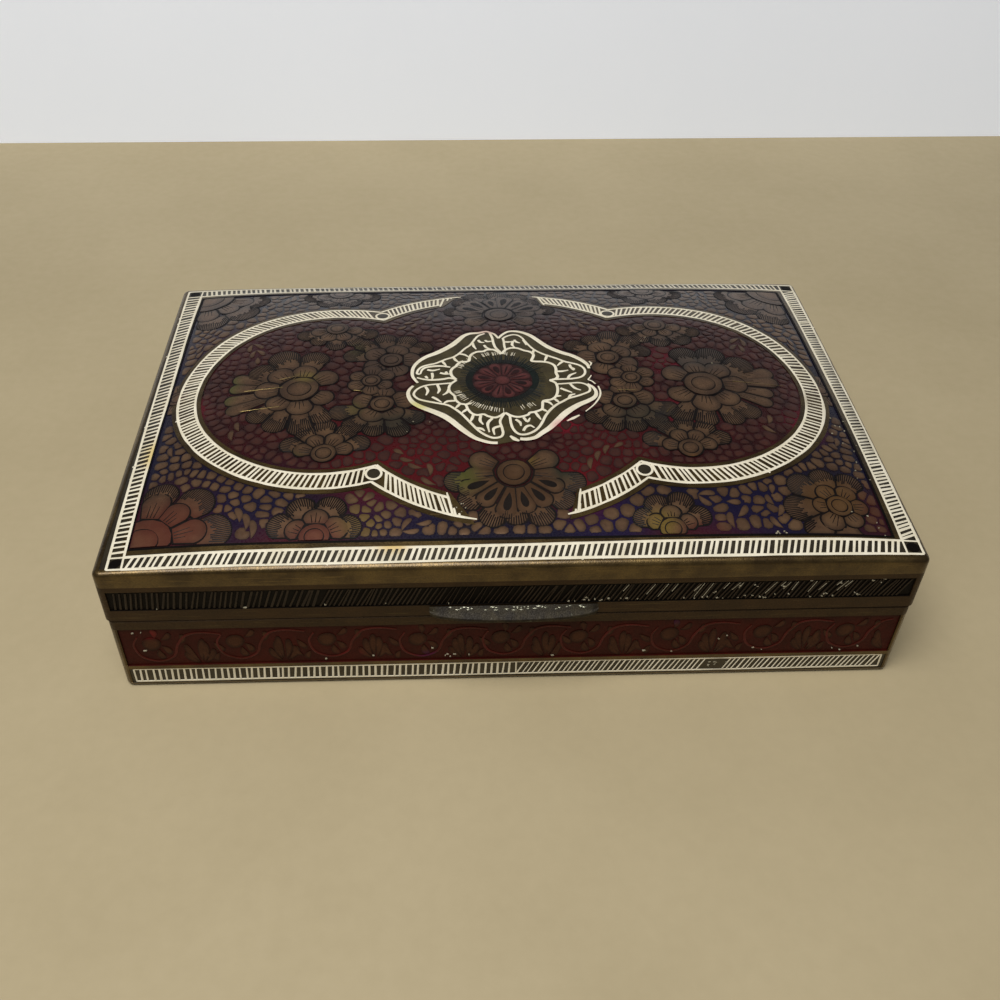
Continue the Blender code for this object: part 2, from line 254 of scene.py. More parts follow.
# Vine stems: the same glaze, rubbed thinner, so the metal shows a dull pink
STEM_BRASS = Finish(
    "rubbed_red_glazed_brass", "#561e1a", "#4a1c14", patch=3.0, metallic=0.2, roughness=0.45, specular=0.15, bump=0.012,
    glaze_and_sheen=True)
# Rosette: red glaze over bright cut brass
ROSETTE_GLAZE = Finish(
    "red_glazed_rosette", "#6e3532", "#5a2b28", patch=2.5, rim="#200808", rim_share=0.6, metallic=0.35, roughness=0.4,
    coat=0.25, coat_roughness=0.16, bump=0.012)
# Lip: brass tinned with soft solder and worn: olive brown, with brown hollows and dull silver specks
TINNED_BRASS = Finish(
    "worn_tinned_brass", "#332b18", "#1d160c", patch=2.4, grain=0.25, grain_depth=0.4, speck="#7f8272", speck_size=0.8,
    speck_share=0.5, metallic=0.3, roughness=0.55, specular=0.3, bump=0.05)
# Beads of solder along the lip's root, still bright
SOLDER = Finish("bright_solder", "#b9b8a4", "#8d8c78", patch=1.0, metallic=0.9, roughness=0.3)
# Bright cut brass: the floors of scratches
BRIGHT_BRASS = Finish("fresh_scratched_brass", "#a08c58", "#7a6640", metallic=0.9, roughness=0.35)
# Inside of tray and lid: plain brass, tarnished evenly, never lacquered
BARE_BRASS = Finish(
    "bare_tarnished_brass", "#7c6238", "#5f4a2a", patch=9.0, streak="#a08450", streak_share=0.4, metallic=0.85,
    roughness=0.45, bump=0.02)
# Fine cuts round the rosette, filled with black enamel that has gone green
FRINGE_ENAMEL = Finish("greened_black_enamel", "#07140f", "#0b0a08", patch=4.0, roughness=0.42, specular=0.3, bump=0.01)
# Dark red left in the rosette's cuts
ROSETTE_CUTS = Finish("deep_red_fill", "#2c0808", "#1c0606", patch=2.0, roughness=0.38, specular=0.35, bump=0.01)
# Cut outlines of the flowers, filled near black with a brown cast
CONTOUR_ENAMEL = Finish(
    "brown_black_fill", "#0a0504", "#120806", patch=3.0, roughness=0.5, specular=0.2, bump=0.01, glaze_and_sheen=True)
# Raised brass under a thin crimson veil: the pebbles inside the cartouche
VEILED_BRASS = Finish(
    "crimson_veiled_brass", "#50281f", "#402018", patch=5.0, rim="#1c0507", rim_share=0.6, metallic=0.3, roughness=0.42,
    coat=0.25, coat_roughness=0.16, bump=0.012, glaze_and_sheen=True)
# Olive brass in the medallion, rubbed brighter than the border's
MEDALLION_BRASS = Finish(
    "rubbed_olive_brass", "#574c2c", "#443a22", patch=2.5, grain=0.2, metallic=0.4, roughness=0.42, coat=0.3,
    coat_roughness=0.16, bump=0.012)
# Brass strokes of the hatched band, nearly black with old lacquer
DARK_BRASS = Finish(
    "blackened_brass_strokes", "#33281c", "#261c14", patch=3.0, metallic=0.3, roughness=0.42, specular=0.3, bump=0.01)
# Olive brass between the border's cream strokes, matt where the tool scraped it
BORDER_BRASS = Finish(
    "scraped_olive_brass", "#3b3320", "#2c2416", patch=2.5, grain=0.2, metallic=0.4, roughness=0.45, coat=0.3,
    bump=0.015)
# Chips of old filling and dust caught in the cuts
DUST = Finish("loose_cream_chips", "#b3ab94", "#8f866e", patch=1.0, roughness=0.7)
STUDIO_FLOOR = Finish(
    "matt_studio_board", "#b9aa88", "#b4a583", patch=60.0, grain=3.0, grain_depth=0.03, roughness=0.7,
    roughness_swing=0.05, bump=0.02)
STUDIO_WALL = Finish(
    "matt_studio_paper", "#eef3fc", "#ebf0f9", patch=200.0, grain=5.0, grain_depth=0.01, roughness=0.8,
    roughness_swing=0.05, bump=0.01, glow=0.22)


@dataclass(frozen=True)
class Crown:
    """The lid's outer face, flat along the middle and falling away to its edges."""

    half_length: float
    half_width: float
    top: float
    edge_bow: float = 0.4
    rise: float = 5.4
    power_x: float = 5.0
    power_y: float = 2.7
    slot: Slot = Slot.LID

    @property
    def corner_height(self) -> float:
        """Height of the crown's corners."""
        return self.top - 2 * self.edge_bow - self.rise

    def height(self, x: Array, y: Array) -> Array:
        """Height of the face over points of the plan."""
        fall_x = 1 - np.minimum(np.abs(x) / self.half_length, 1.0) ** self.power_x
        fall_y = 1 - np.minimum(np.abs(y) / self.half_width, 1.0) ** self.power_y
        return self.corner_height + self.edge_bow * (fall_x + fall_y) + self.rise * fall_x * fall_y

    def place(self, drawing: Array) -> Array:
        """Lay drawn points on the crown."""
        x, y, relief = drawing.T
        return np.column_stack((x, y, self.height(x, y) + relief))


@dataclass(frozen=True)
class Side:
    """One upright side: a drawing runs along it, up it and out of it."""

    quarter: Quarter
    distance: float
    half: float
    slot: Slot

    @property
    def ending(self) -> str:
        """What the names of its pieces end in."""
        return self.quarter.name.lower()

    def place(self, drawing: Array) -> Array:
        """Lay drawn points on the side."""
        along, up, out = drawing.T
        turn = self.quarter.value * pi / 2
        y = -(self.distance + out)
        return np.column_stack((cos(turn) * along - sin(turn) * y, sin(turn) * along + cos(turn) * y, up,))


Surface = Crown | Side
Tint = Callable[[Array], Array]


class Hand(NamedTuple):
    """What a band is cut with: its surface, the hand's unevenness, and the colour on its lines: stains, and on the lid
    a painted reflection along the back.
    """

    surface: Surface
    rng: Rng
    tint: Tint | None = None


def write(mesh: Mesh, label: str, kind: str, key: str, values: Array) -> None:
    """Write an attribute of a mesh's points."""
    mesh.attributes.new(label, kind, "POINT").data.foreach_set(key, np.asarray(values, np.float32).ravel())


def new_mesh(name: str, points: Array, edges: Sequence = (), faces: Sequence = ()) -> Mesh:
    """A mesh of plain points, edges and faces."""
    mesh = bpy.data.meshes.new(name)
    mesh.from_pydata(np.asarray(points).tolist(), edges, faces)
    return mesh


def show(mesh: Mesh, drawn: Array, slot: Slot, finishes: Sequence[Finish] = (),
         tint: Tint | None = None, angle: float = 40.0, replaces: str | None = None) -> None:
    """Dress a finished mesh, add it to the scene under its name and let it ride on the box.

    Args:
        mesh: The mesh, in metres and in place.
        drawn: Its points as drawn, in millimetres.
        slot: The record's slot; not used.
        finishes: Its finishes, where it has none yet.
        tint: Gives the colour and strength of stains and painted reflection at drawn points.
        angle: The sharpest edge that still shades as round, in degrees.
        replaces: The solid that it stands for.
    """
    for finish in finishes:
        mesh.materials.append(finish.build())
    mesh.shade_smooth()
    mesh.set_sharp_from_angle(angle=radians(angle))
    write(mesh, "glaze_and_sheen", "FLOAT_COLOR", "color", tint(drawn) if tint else np.zeros((len(drawn), 4)))
    made = bpy.data.objects.new(mesh.name, mesh)
    bpy.context.scene.collection.objects.link(made)
    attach(made, BODY)
    if replaces:
        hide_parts(replaces)
    mesh.calc_loop_triangles()
    LOG.info("%s: %d triangles", made.name, len(mesh.loop_triangles))


def counter_clockwise(outline: Array) -> Array:
    """The outline, turned round if it runs clockwise."""
    x, y = outline.T
    area = np.sum(x * np.roll(y, -1) - y * np.roll(x, -1))
    return outline if area > 0 else outline[::-1]


def tube(rows: int, loop: int, first: int = 0) -> list[tuple[int, ...]]:
    """Faces of a tube, closed at both ends.

    Args:
        rows: How many loops it has.
        loop: How many points each has.
        first: Number of the first point.

    Returns:
        The faces.
    """
    faces = []
    for row in range(rows - 1):
        here, there = first + row * loop, first + (row + 1) * loop
        for place in range(loop):
            after = (place + 1) % loop
            faces.append((here + place, there + place, there + after, here + after))
    last = first + (rows - 1) * loop
    return [*faces, tuple(range(first, first + loop)), tuple(range(last, last + loop))[::-1]]


class Drawing:
    """Something drawn flat that becomes one piece on a surface."""

    angle = 40.0

    def solid(self, name: str, finish: Finish, sizes: Sequence[float]) -> tuple[Mesh, Array]:
        """The dressed mesh and its points as drawn."""
        raise NotImplementedError

    def finish(self, name: str, surface: Surface, finish: Finish, *sizes: float, tint: Tint | None = None) -> None:
        """Lay the drawing on a surface and show it.

        Args:
            name: The piece's name.
            surface: What it is laid on.
            finish: The piece's finish.
            *sizes: Its sizes, where they aren't the usual ones.
            tint: The stains and painted reflection on it.
        """
        mesh, drawn = self.solid(name, finish, sizes)
        mesh.vertices.foreach_set("co", (surface.place(drawn) * MM).astype(np.float32).ravel())
        mesh.update()
        mesh.name = name
        show(mesh, drawn, surface.slot, tint=tint, angle=self.angle)


class Relief(Drawing):
    """Raised pads of one finish, each a closed solid."""

    def __init__(self) -> None:
        """Start with no pads."""
        self.points: list[Array] = []
        self.rims: list[Array] = []
        self.faces: list[tuple[int, ...]] = []
        self.total = 0

    def pad(self, outline: Array, top: float, foot: float, dome: float = 0.02,
            middle: Array | None = None, shares: Sequence[float] = (0.55, 0.86, 1.0)) -> None:
        """Add a pad with a gently domed top.

        Args:
            outline: The pad's outline, seen whole from its middle.
            top: Relief of the pad's edge.
            foot: Relief that its wall runs down to.
            dome: How far the middle stands above the edge.
            middle: The point that the rings draw in to, or None for the points' middle.
            shares: How far out each ring lies.
        """
        outline = counter_clockwise(np.asarray(outline, float))
        middle = outline.mean(axis=0) if middle is None else np.asarray(middle, float)
        count = len(outline)
        rows = [np.append(middle, top + dome)[None]]
        for share in shares:
            ring = middle + share * (outline - middle)
            rows.append(np.column_stack((ring, np.full(count, top + dome * (1 - share ** 2)))))
        rows.append(np.column_stack((outline, np.full(count, foot))))
        start = self.total
        here = np.arange(count)
        after = (here + 1) % count
        self.faces += [(start, start + 1 + a, start + 1 + b) for a, b in zip(here, after)]
        for level in range(len(shares)):
            inner = start + 1 + level * count
            outer = inner + count
            self.faces += [(inner + a, outer + a, outer + b, inner + b) for a, b in zip(here, after)]
        last = start + 1 + len(shares) * count
        self.faces.append(tuple(int(last + place) for place in here[::-1]))
        self.points += rows
        self.rims.append(np.concatenate(([0.0], np.repeat([*shares, 1.0], count))))
        self.total = last + count

    def ribbon(self, inner: Array, outer: Array, top: float, foot: float,
               shares: Sequence[float] = (0.0, 0.33, 0.67, 1.0)) -> None:
        """Add a closed strip between two lines of equal count.

        Args:
            inner: One long edge.
            outer: The other.
            top: Relief of its top.
            foot: Relief of its underside.
            shares: Where the rows of its top lie between the edges.
        """
        along, across = inner[1] - inner[0], outer[0] - inner[0]
        if along[0] * across[1] - along[1] * across[0] < 0:
            inner, outer = outer, inner
        rows = [np.column_stack((inner + share * (outer - inner), np.full(len(inner), top))) for share in shares]
        rows += [np.column_stack((line, np.full(len(inner), foot))) for line in (outer, inner)]
        loop, count = len(rows), len(inner)
        self.faces += tube(count, loop, self.total)
        self.points.append(np.stack(rows, axis=1).reshape(-1, 3))
        self.rims.append(np.tile([*(abs(2 * share - 1) for share in shares), 1.0, 1.0], count))
        self.total += loop * count

    def solid(self, name: str, finish: Finish, sizes: Sequence[float]) -> tuple[Mesh, Array]:
        """The pads' mesh, with their rims marked, and their points."""
        drawn = np.vstack(self.points)
        mesh = new_mesh(name, drawn, faces=self.faces)
        mesh.materials.append(finish.build())
        write(mesh, "rim", "FLOAT", "value", np.concatenate(self.rims))
        return mesh, drawn


class Grown(Drawing):
    """A drawing that Geometry Nodes grow into closed solids, one for each mark or line."""

    angle = 75.0
    flush = -0.012
    sizes: dict[str, float] = {}

    @staticmethod
    def new_tree(name: str, sizes: dict[str, float]) -> Tree:
        """A tree with a geometry input, named sizes, a finish and a geometry output."""
        tree = bpy.data.node_groups.new(name, "GeometryNodeTree")
        tree.interface.new_socket("Drawing", in_out="INPUT", socket_type="NodeSocketGeometry")
        for label, value in sizes.items():
            tree.interface.new_socket(label, in_out="INPUT", socket_type="NodeSocketFloat").default_value = value
        tree.interface.new_socket("Finish", in_out="INPUT", socket_type="NodeSocketMaterial")
        tree.interface.new_socket("Solid", in_out="OUTPUT", socket_type="NodeSocketGeometry")
        return tree

    @staticmethod
    def close_tree(tree: Tree, given: bpy.types.Node, geometry: Socket) -> None:
        """Realize what was made, give it its finish and hand it out."""
        real = add_node(tree, "GeometryNodeRealizeInstances", {0: geometry})
        dressed = add_node(
            tree, "GeometryNodeSetMaterial", {"Geometry": real.outputs[0], "Material": given.outputs["Finish"]})
        add_node(tree, "NodeGroupOutput", {0: dressed.outputs[0]})

    @staticmethod
    def named(tree: Tree, label: str, kind: str = "FLOAT") -> Socket:
        """An attribute of the drawing."""
        return add_node(tree, "GeometryNodeInputNamedAttribute", {"Name": label}, data_type=kind).outputs["Attribute"]

    def solid(self, name: str, finish: Finish, sizes: Sequence[float]) -> tuple[Mesh, Array]:
        """Run the tree on the drawn marks or lines and make the result a plain mesh."""
        tree, drawing = self.tree(), self.marks(name + "_drawing")
        carrier = bpy.data.objects.new(drawing.name, drawing)
        bpy.context.scene.collection.objects.link(carrier)
        modifier = carrier.modifiers.new(tree.name, "NODES")
        modifier.node_group = tree
        values = {**self.sizes, **dict(zip(self.sizes, sizes)), "Finish": finish.build()}
        for socket in tree.interface.items_tree:
            if socket.in_out == "INPUT" and socket.name in values:
                modifier[socket.identifier] = values[socket.name]
        evaluated = carrier.evaluated_get(bpy.context.evaluated_depsgraph_get())
        mesh = bpy.data.meshes.new_from_object(evaluated)
        carrier.modifiers.remove(modifier)
        bpy.data.objects.remove(carrier)
        drawn = np.zeros(len(mesh.vertices) * 3, np.float32)
        mesh.vertices.foreach_get("co", drawn)
        drawn = drawn.reshape(-1, 3).astype(float)
        drawn[:, 2] = np.minimum(drawn[:, 2], self.flush)
        return mesh, drawn


class Strokes(Grown):
    """Marks that grow to round-backed strokes.

    Their thickness lies half under their middle, and the tip is a share of the width at the root.
    """

    sizes = {"Thickness": 0.1, "Tip Share": 0.85}

    def __init__(self) -> None:
        """Start with no marks."""
        self.rows: list[tuple[float, float, float, float, float, float]] = []

    @staticmethod
    @cache
    def tree() -> Tree:
        """The nodes that set a stroke at every mark, turned and sized by the mark's attributes."""
        tree = Grown.new_tree("hand_cut_strokes", Strokes.sizes)
        given = add_node(tree, "NodeGroupInput")
        tip = add_node(tree, "ShaderNodeMath", {0: given.outputs["Tip Share"], 1: 0.5}, operation="MULTIPLY")
        bar = add_node(
            tree, "GeometryNodeMeshCone", {"Vertices": 8, "Radius Top": tip.outputs[0], "Radius Bottom": 0.5,
            "Depth": 1.0})
        laid = add_node(
            tree, "GeometryNodeTransform", {"Geometry": bar.outputs[0], "Translation": (-0.5, 0.0, 0.0),
            "Rotation": (0.0, pi / 2, 0.0)})
        angles = add_node(tree, "ShaderNodeCombineXYZ", {"Z": Grown.named(tree, "turn")})
        turned = add_node(tree, "FunctionNodeEulerToRotation", {0: angles.outputs[0]})
        thick = add_node(tree, "ShaderNodeCombineXYZ", {"X": 1.0, "Y": 1.0, "Z": given.outputs["Thickness"]})
        scale = add_node(
            tree, "ShaderNodeVectorMath", {0: Grown.named(tree, "size", "FLOAT_VECTOR"), 1: thick.outputs[0]},
            operation="MULTIPLY")
        points = add_node(tree, "GeometryNodeMeshToPoints", {"Mesh": given.outputs["Drawing"]})
        placed = add_node(tree, "GeometryNodeInstanceOnPoints", {
            "Points": points.outputs[0], "Instance": laid.outputs[0], "Rotation": turned.outputs[0],
            "Scale": scale.outputs[0]})
        Grown.close_tree(tree, given, placed.outputs[0])
        return tree

    def add(self, start: Sequence[float], end: Sequence[float], width: float, relief: float, over: float = 0.0) -> None:
        """Add a stroke from one point to another.

        Args:
            start: Its first end.
            end: Its last end.
            width: Its width.
            relief: Relief of its middle.
            over: How far it runs past its last end.
        """
        run, rise = end[0] - start[0], end[1] - start[1]
        length = hypot(run, rise)
        middle = (start[0] + run / 2 * (1 + over / length), start[1] + rise / 2 * (1 + over / length))
        self.rows.append((*middle, relief, atan2(rise, run), length + over, width))

    def marks(self, name: str) -> Mesh:
        """A point for each stroke, with its turn and size."""
        rows = np.array(self.rows)
        mesh = new_mesh(name, rows[:, :3])
        write(mesh, "turn", "FLOAT", "value", rows[:, 3])
        write(mesh, "size", "FLOAT_VECTOR", "vector", np.column_stack((rows[:, 4:], np.ones(len(rows)))))
        return mesh


class Rails(Grown):
    """Lines that grow to flat, round-backed rails, as broad as the breadth where the girth is one."""

    sizes = {"Breadth": 0.5, "Thickness": 0.1}

    def __init__(self) -> None:
        """Start with no lines."""
        self.points: list[tuple[float, float, float]] = []
        self.edges: list[tuple[int, int]] = []
        self.girths: list[float] = []

    @staticmethod
    @cache
    def tree() -> Tree:
        """The nodes that draw a rail along every line, as wide as its points say."""
        tree = Grown.new_tree("drawn_rails", Rails.sizes)
        given = add_node(tree, "NodeGroupInput")
        line = add_node(tree, "GeometryNodeMeshToCurve", {"Mesh": given.outputs["Drawing"]})
        flat = add_node(tree, "GeometryNodeSetCurveNormal", {"Curve": line.outputs[0]}, mode="Z_UP")
        ring = add_node(tree, "GeometryNodeCurvePrimitiveCircle", {"Resolution": 8, "Radius": 0.5})
        shape = add_node(
            tree, "ShaderNodeCombineXYZ", {"X": given.outputs["Breadth"], "Y": given.outputs["Thickness"], "Z": 1.0})
        profile = add_node(tree, "GeometryNodeTransform", {"Geometry": ring.outputs[0], "Scale": shape.outputs[0]})
        swept = add_node(tree, "GeometryNodeCurveToMesh", {
            "Curve": flat.outputs[0], "Profile Curve": profile.outputs[0], "Scale": Grown.named(tree, "girth"),
            "Fill Caps": True})
        Grown.close_tree(tree, given, swept.outputs[0])
        return tree

    def add(self, line: Array, relief: float, girth: float | Sequence[float] = 1.0, closed: bool = False) -> None:
        """Add a line.

        Args:
            line: Its points.
            relief: Relief of the rail's middle.
            girth: The rail's width as a share of the tree's, along the line.
            closed: Whether the last point joins the first.
        """
        first, count = len(self.points), len(line)
        given = np.atleast_1d(np.asarray(girth, float))
        self.girths += np.interp(np.linspace(0, 1, count), np.linspace(0, 1, len(given)), given).tolist()
        self.points += [(x, y, relief) for x, y in line]
        self.edges += [(first + place, first + place + 1) for place in range(count - 1)]
        if closed:
            self.edges.append((first + count - 1, first))

    def marks(self, name: str) -> Mesh:
        """The lines, with their girths."""
        mesh = new_mesh(name, self.points, self.edges)
        write(mesh, "girth", "FLOAT", "value", self.girths)
        return mesh


def arc(middle: Point, radius: float, start: float, end: float, step: float = 1.0) -> Array:
    """Points of an arc.

    Args:
        middle: Its centre.
        radius: Its radius.
        start: Its first heading in degrees.
        end: Its last heading in degrees.
        step: The greatest distance between points.

    Returns:
        The points, ends included.
    """
    count = max(int(radians(abs(end - start)) * radius / step) + 2, 4)
    turns = np.radians(np.linspace(start, end, count))
    return np.column_stack((middle[0] + radius * np.cos(turns), middle[1] + radius * np.sin(turns)))


def straight(start: Sequence[float], end: Sequence[float], step: float = 1.0) -> Array:
    """Points of a straight line, no further apart than a step."""
    count = max(int(dist(start, end) / step) + 1, 2)
    return np.linspace(start, end, count)


def flowing(points: Sequence[Point], steps: int = 6) -> Array:
    """A smooth line through given points.

    Args:
        points: The points.
        steps: Steps between one point and the next.

    Returns:
        The line's points.
    """
    given = np.asarray(points, float)
    padded = np.vstack((2 * given[0] - given[1], given, 2 * given[-1] - given[-2]))
    made = []
    for before, here, after, beyond in zip(padded, padded[1:], padded[2:], padded[3:]):
        for share in np.linspace(0, 1, steps, endpoint=False):
            made.append(
                0.5 * (2 * here + (after - before) * share + (2 * before - 5 * here + 4 * after - beyond) * share ** 2
                + (3 * here - before - 3 * after + beyond) * share ** 3))
    made.append(given[-1])
    return np.array(made)


def heading(degrees: float) -> Array:
    """A unit vector along a heading."""
    return np.array((cos(radians(degrees)), sin(radians(degrees))))


def disc(middle: Sequence[float], radius: float, count: int = 14, uneven: float = 0.0, seed: float = 0.0) -> Array:
    """A round outline, a little uneven if asked.

    Args:
        middle: Its centre.
        radius: Its mean radius.
        count: Its points.
        uneven: How far the radius swings, as a share.
        seed: Turns the swing.

    Returns:
        The outline.
    """
    turns = np.linspace(0, 2 * pi, count, endpoint=False)
    reach = radius * (1 + uneven * np.sin(2 * turns + seed) + 0.5 * uneven * np.sin(3 * turns + 2 * seed))
    return np.column_stack((middle[0] + reach * np.cos(turns), middle[1] + reach * np.sin(turns)))


def leaf(root: Sequence[float], degrees: float, length: float, breadth: float, bend: float = 0.0) -> Array:
    """A leaf's outline: pointed at its root, full past the middle, bent to one side.

    Args:
        root: Where it springs from.
        degrees: Its heading at the root.
        length: Its length.
        breadth: Its greatest width.
        bend: How far its tip turns aside, in degrees.

    Returns:
        The outline.
    """
    turns = np.linspace(0, 2 * pi, 18, endpoint=False)
    along = (1 - np.cos(turns)) / 2
    across = np.sin(turns) * np.sqrt(along) * breadth / 2 * 1.15
    aside = np.radians(degrees + bend * along)
    x = root[0] + length * along * np.cos(aside) - across * np.sin(aside)
    y = root[1] + length * along * np.sin(aside) + across * np.cos(aside)
    return np.column_stack((x, y))


def wedge(middle: Sequence[float], degrees: float, root: float, tip: float, spread: float, gap: float) -> Array:
    """A petal: straight sides that keep a gap to its neighbours, and a round end.

    Args:
        middle: The flower's centre.
        degrees: The petal's heading.
        root: How far from the centre it starts.
        tip: How far out it ends.
        spread: Heading to the next petal, in degrees.
        gap: Width of the line left between petals.

    Returns:
        The outline.
    """
    half = tan(radians(min(spread, 80.0)) / 2)
    shoulder = tip / (1 + half * 0.9)
    broad = shoulder * half - gap / 2
    sides = np.linspace(root, shoulder, 5)
    widths = np.maximum(sides * half - gap / 2, 0.12)
    turns = np.linspace(90, -90, 11)[1:-1]
    cap = [(shoulder + (tip - shoulder) * cos(radians(t)), broad * sin(radians(t))) for t in turns]
    drawn = np.array([*zip(sides, widths), *cap, *zip(sides[::-1], -widths[::-1])])
    ahead, aside = heading(degrees), heading(degrees + 90)
    return np.asarray(middle) + drawn[:, :1] * ahead + drawn[:, 1:] * aside


@dataclass(frozen=True)
class ColourPatch:
    """A patch of colour over the drawing: coloured enamel rubbed or spilt over it, and in some tables a painted
    reflection.
    """

    middle: Point
    reach: Point
    colour: str
    strength: float = 0.8


class ColourPatches:
    """All the colour patches of one surface: stains, and painted reflection."""

    def __init__(self, colour_patches: Sequence[ColourPatch]) -> None:
        """Keep the patches in the order that they are laid."""
        self.colour_patches = colour_patches

    @classmethod
    def read(cls, table: str) -> "ColourPatches":
        """Colour patches from a table: stains, and painted reflection.

        Args:
            table: A word for each: its middle, its reach, its colour and its strength, parted by colons.

        Returns:
            The patches.
        """
        rows = (word.split(":") for word in table.split())
        return cls(
            [ColourPatch(*(tuple(map(float, pair.split(","))) for pair in row[:2]), row[2], float(row[3])) for row in rows])

    def __call__(self, points: Array) -> Array:
        """Colour and strength at drawn points.

        Args:
            points: The drawn points.

        Returns:
            One row of red, green, blue and strength for each.
        """
        painted = np.zeros((len(points), 4))
        for colour_patch in self.colour_patches:
            far = (((points[:, :2] - colour_patch.middle) / colour_patch.reach) ** 2).sum(axis=1)
            strength = colour_patch.strength * np.exp(-far ** 1.5)
            share = (strength / np.maximum(strength + painted[:, 3] * (1 - strength), 1e-6))[:, None]
            painted[:, :3] = painted[:, :3] * (1 - share) + np.array(linear(colour_patch.colour)[:3]) * share
            painted[:, 3] = 1 - (1 - painted[:, 3]) * (1 - strength)
        return painted


class Canvas:
    """Remembers which parts of the lid are taken, on a fine square grid."""

    def __init__(self, half_length: float, half_width: float, step: float = 0.3) -> None:
        """Start with an empty grid over the lid.

        Args:
            half_length: Half the lid's length.
            half_width: Half its width.
            step: The grid's spacing.
        """
        self.step = step
        self.low = np.array((-half_length, -half_width))
        across = np.arange(-half_length, half_length, step)
        up = np.arange(-half_width, half_width, step)
        self.x, self.y = np.meshgrid(across, up, indexing="ij")
        self.taken = np.zeros(self.x.shape, bool)

    def cover(self, outline: Array) -> None:
        """Mark the inside of an outline as taken."""
        first = np.maximum(((outline.min(axis=0) - self.low) / self.step).astype(int), 0)
        last = ((outline.max(axis=0) - self.low) / self.step).astype(int) + 2
        window = (slice(first[0], last[0]), slice(first[1], last[1]))
        x, y = self.x[window], self.y[window]
        inside = np.zeros(x.shape, bool)
        for start, end in zip(outline, np.roll(outline, -1, axis=0)):
            if start[1] == end[1]:
                continue
            spans = (start[1] > y) != (end[1] > y)
            crossing = start[0] + (y - start[1]) * (end[0] - start[0]) / (end[1] - start[1])
            inside ^= spans & (x < crossing)
        self.taken[window] |= inside

    def close_beyond(self, half_length: float, half_width: float) -> None:
        """Mark everything outside a rectangle as taken."""
        self.taken |= (np.abs(self.x) > half_length) | (np.abs(self.y) > half_width)

    def is_free(self, points: Array) -> bool:
        """Whether none of the points is on a taken part."""
        places = ((points - self.low) / self.step).astype(int)
        if (places < 0).any() or (places >= self.taken.shape).any():
            return False
        return not self.taken[places[:, 0], places[:, 1]].any()


@dataclass(frozen=True)
class Ladder:
    """A band of cream lines: two rails with short strokes between them."""

    spacing: float = 1.18
    stroke: float = 0.54
    relief: float = -0.055
    over: float = 0.22
    over_share: float = 0.15

    def draw(self, inner: Array, outer: Array, lean: float, rails: Rails, strokes: Strokes,
             rng: Rng, skip: Sequence[tuple[float, float]] = ()) -> None:
        """Draw the band between two lines of equal count.

        Args:
            inner: The inner rail's points.
            outer: The outer rail's points.
            lean: How far a stroke's outer end lies ahead of its inner one, in millimetres.
            rails: Takes the rails.
            strokes: Takes the strokes.
            rng: The hand's unevenness.
            skip: Stretches left without strokes, as shares of the length.
        """
        for line in (inner, outer):
            rails.add(line, self.relief, 1 + 0.14 * rng.standard_normal(max(len(line) // 3, 2)))
        middle = (inner + outer) / 2
        steps = np.hypot(*np.diff(middle, axis=0).T)
        length = steps.sum()
        shares = np.concatenate(([0], np.cumsum(steps))) / length
        count = int(length / self.spacing)
        for place in range(1, count):
            at = (place + 0.07 * rng.standard_normal()) / count
            if any(low < at < high for low, high in skip):
                continue
            shift = (lean + 0.07 * rng.standard_normal()) / length / 2
            ends = []
            for line, share in ((inner, at - shift), (outer, at + shift)):
                share = min(max(share, 0.0), 1.0)
                ends.append((np.interp(share, shares, line[:, 0]), np.interp(share, shares, line[:, 1])))
            over = self.over * abs(rng.standard_normal()) if rng.random() < self.over_share else 0.0
            width = self.stroke * (1 + 0.10 * rng.standard_normal())
            strokes.add(ends[0], ends[1], max(width, 0.2), self.relief + 0.005, over)


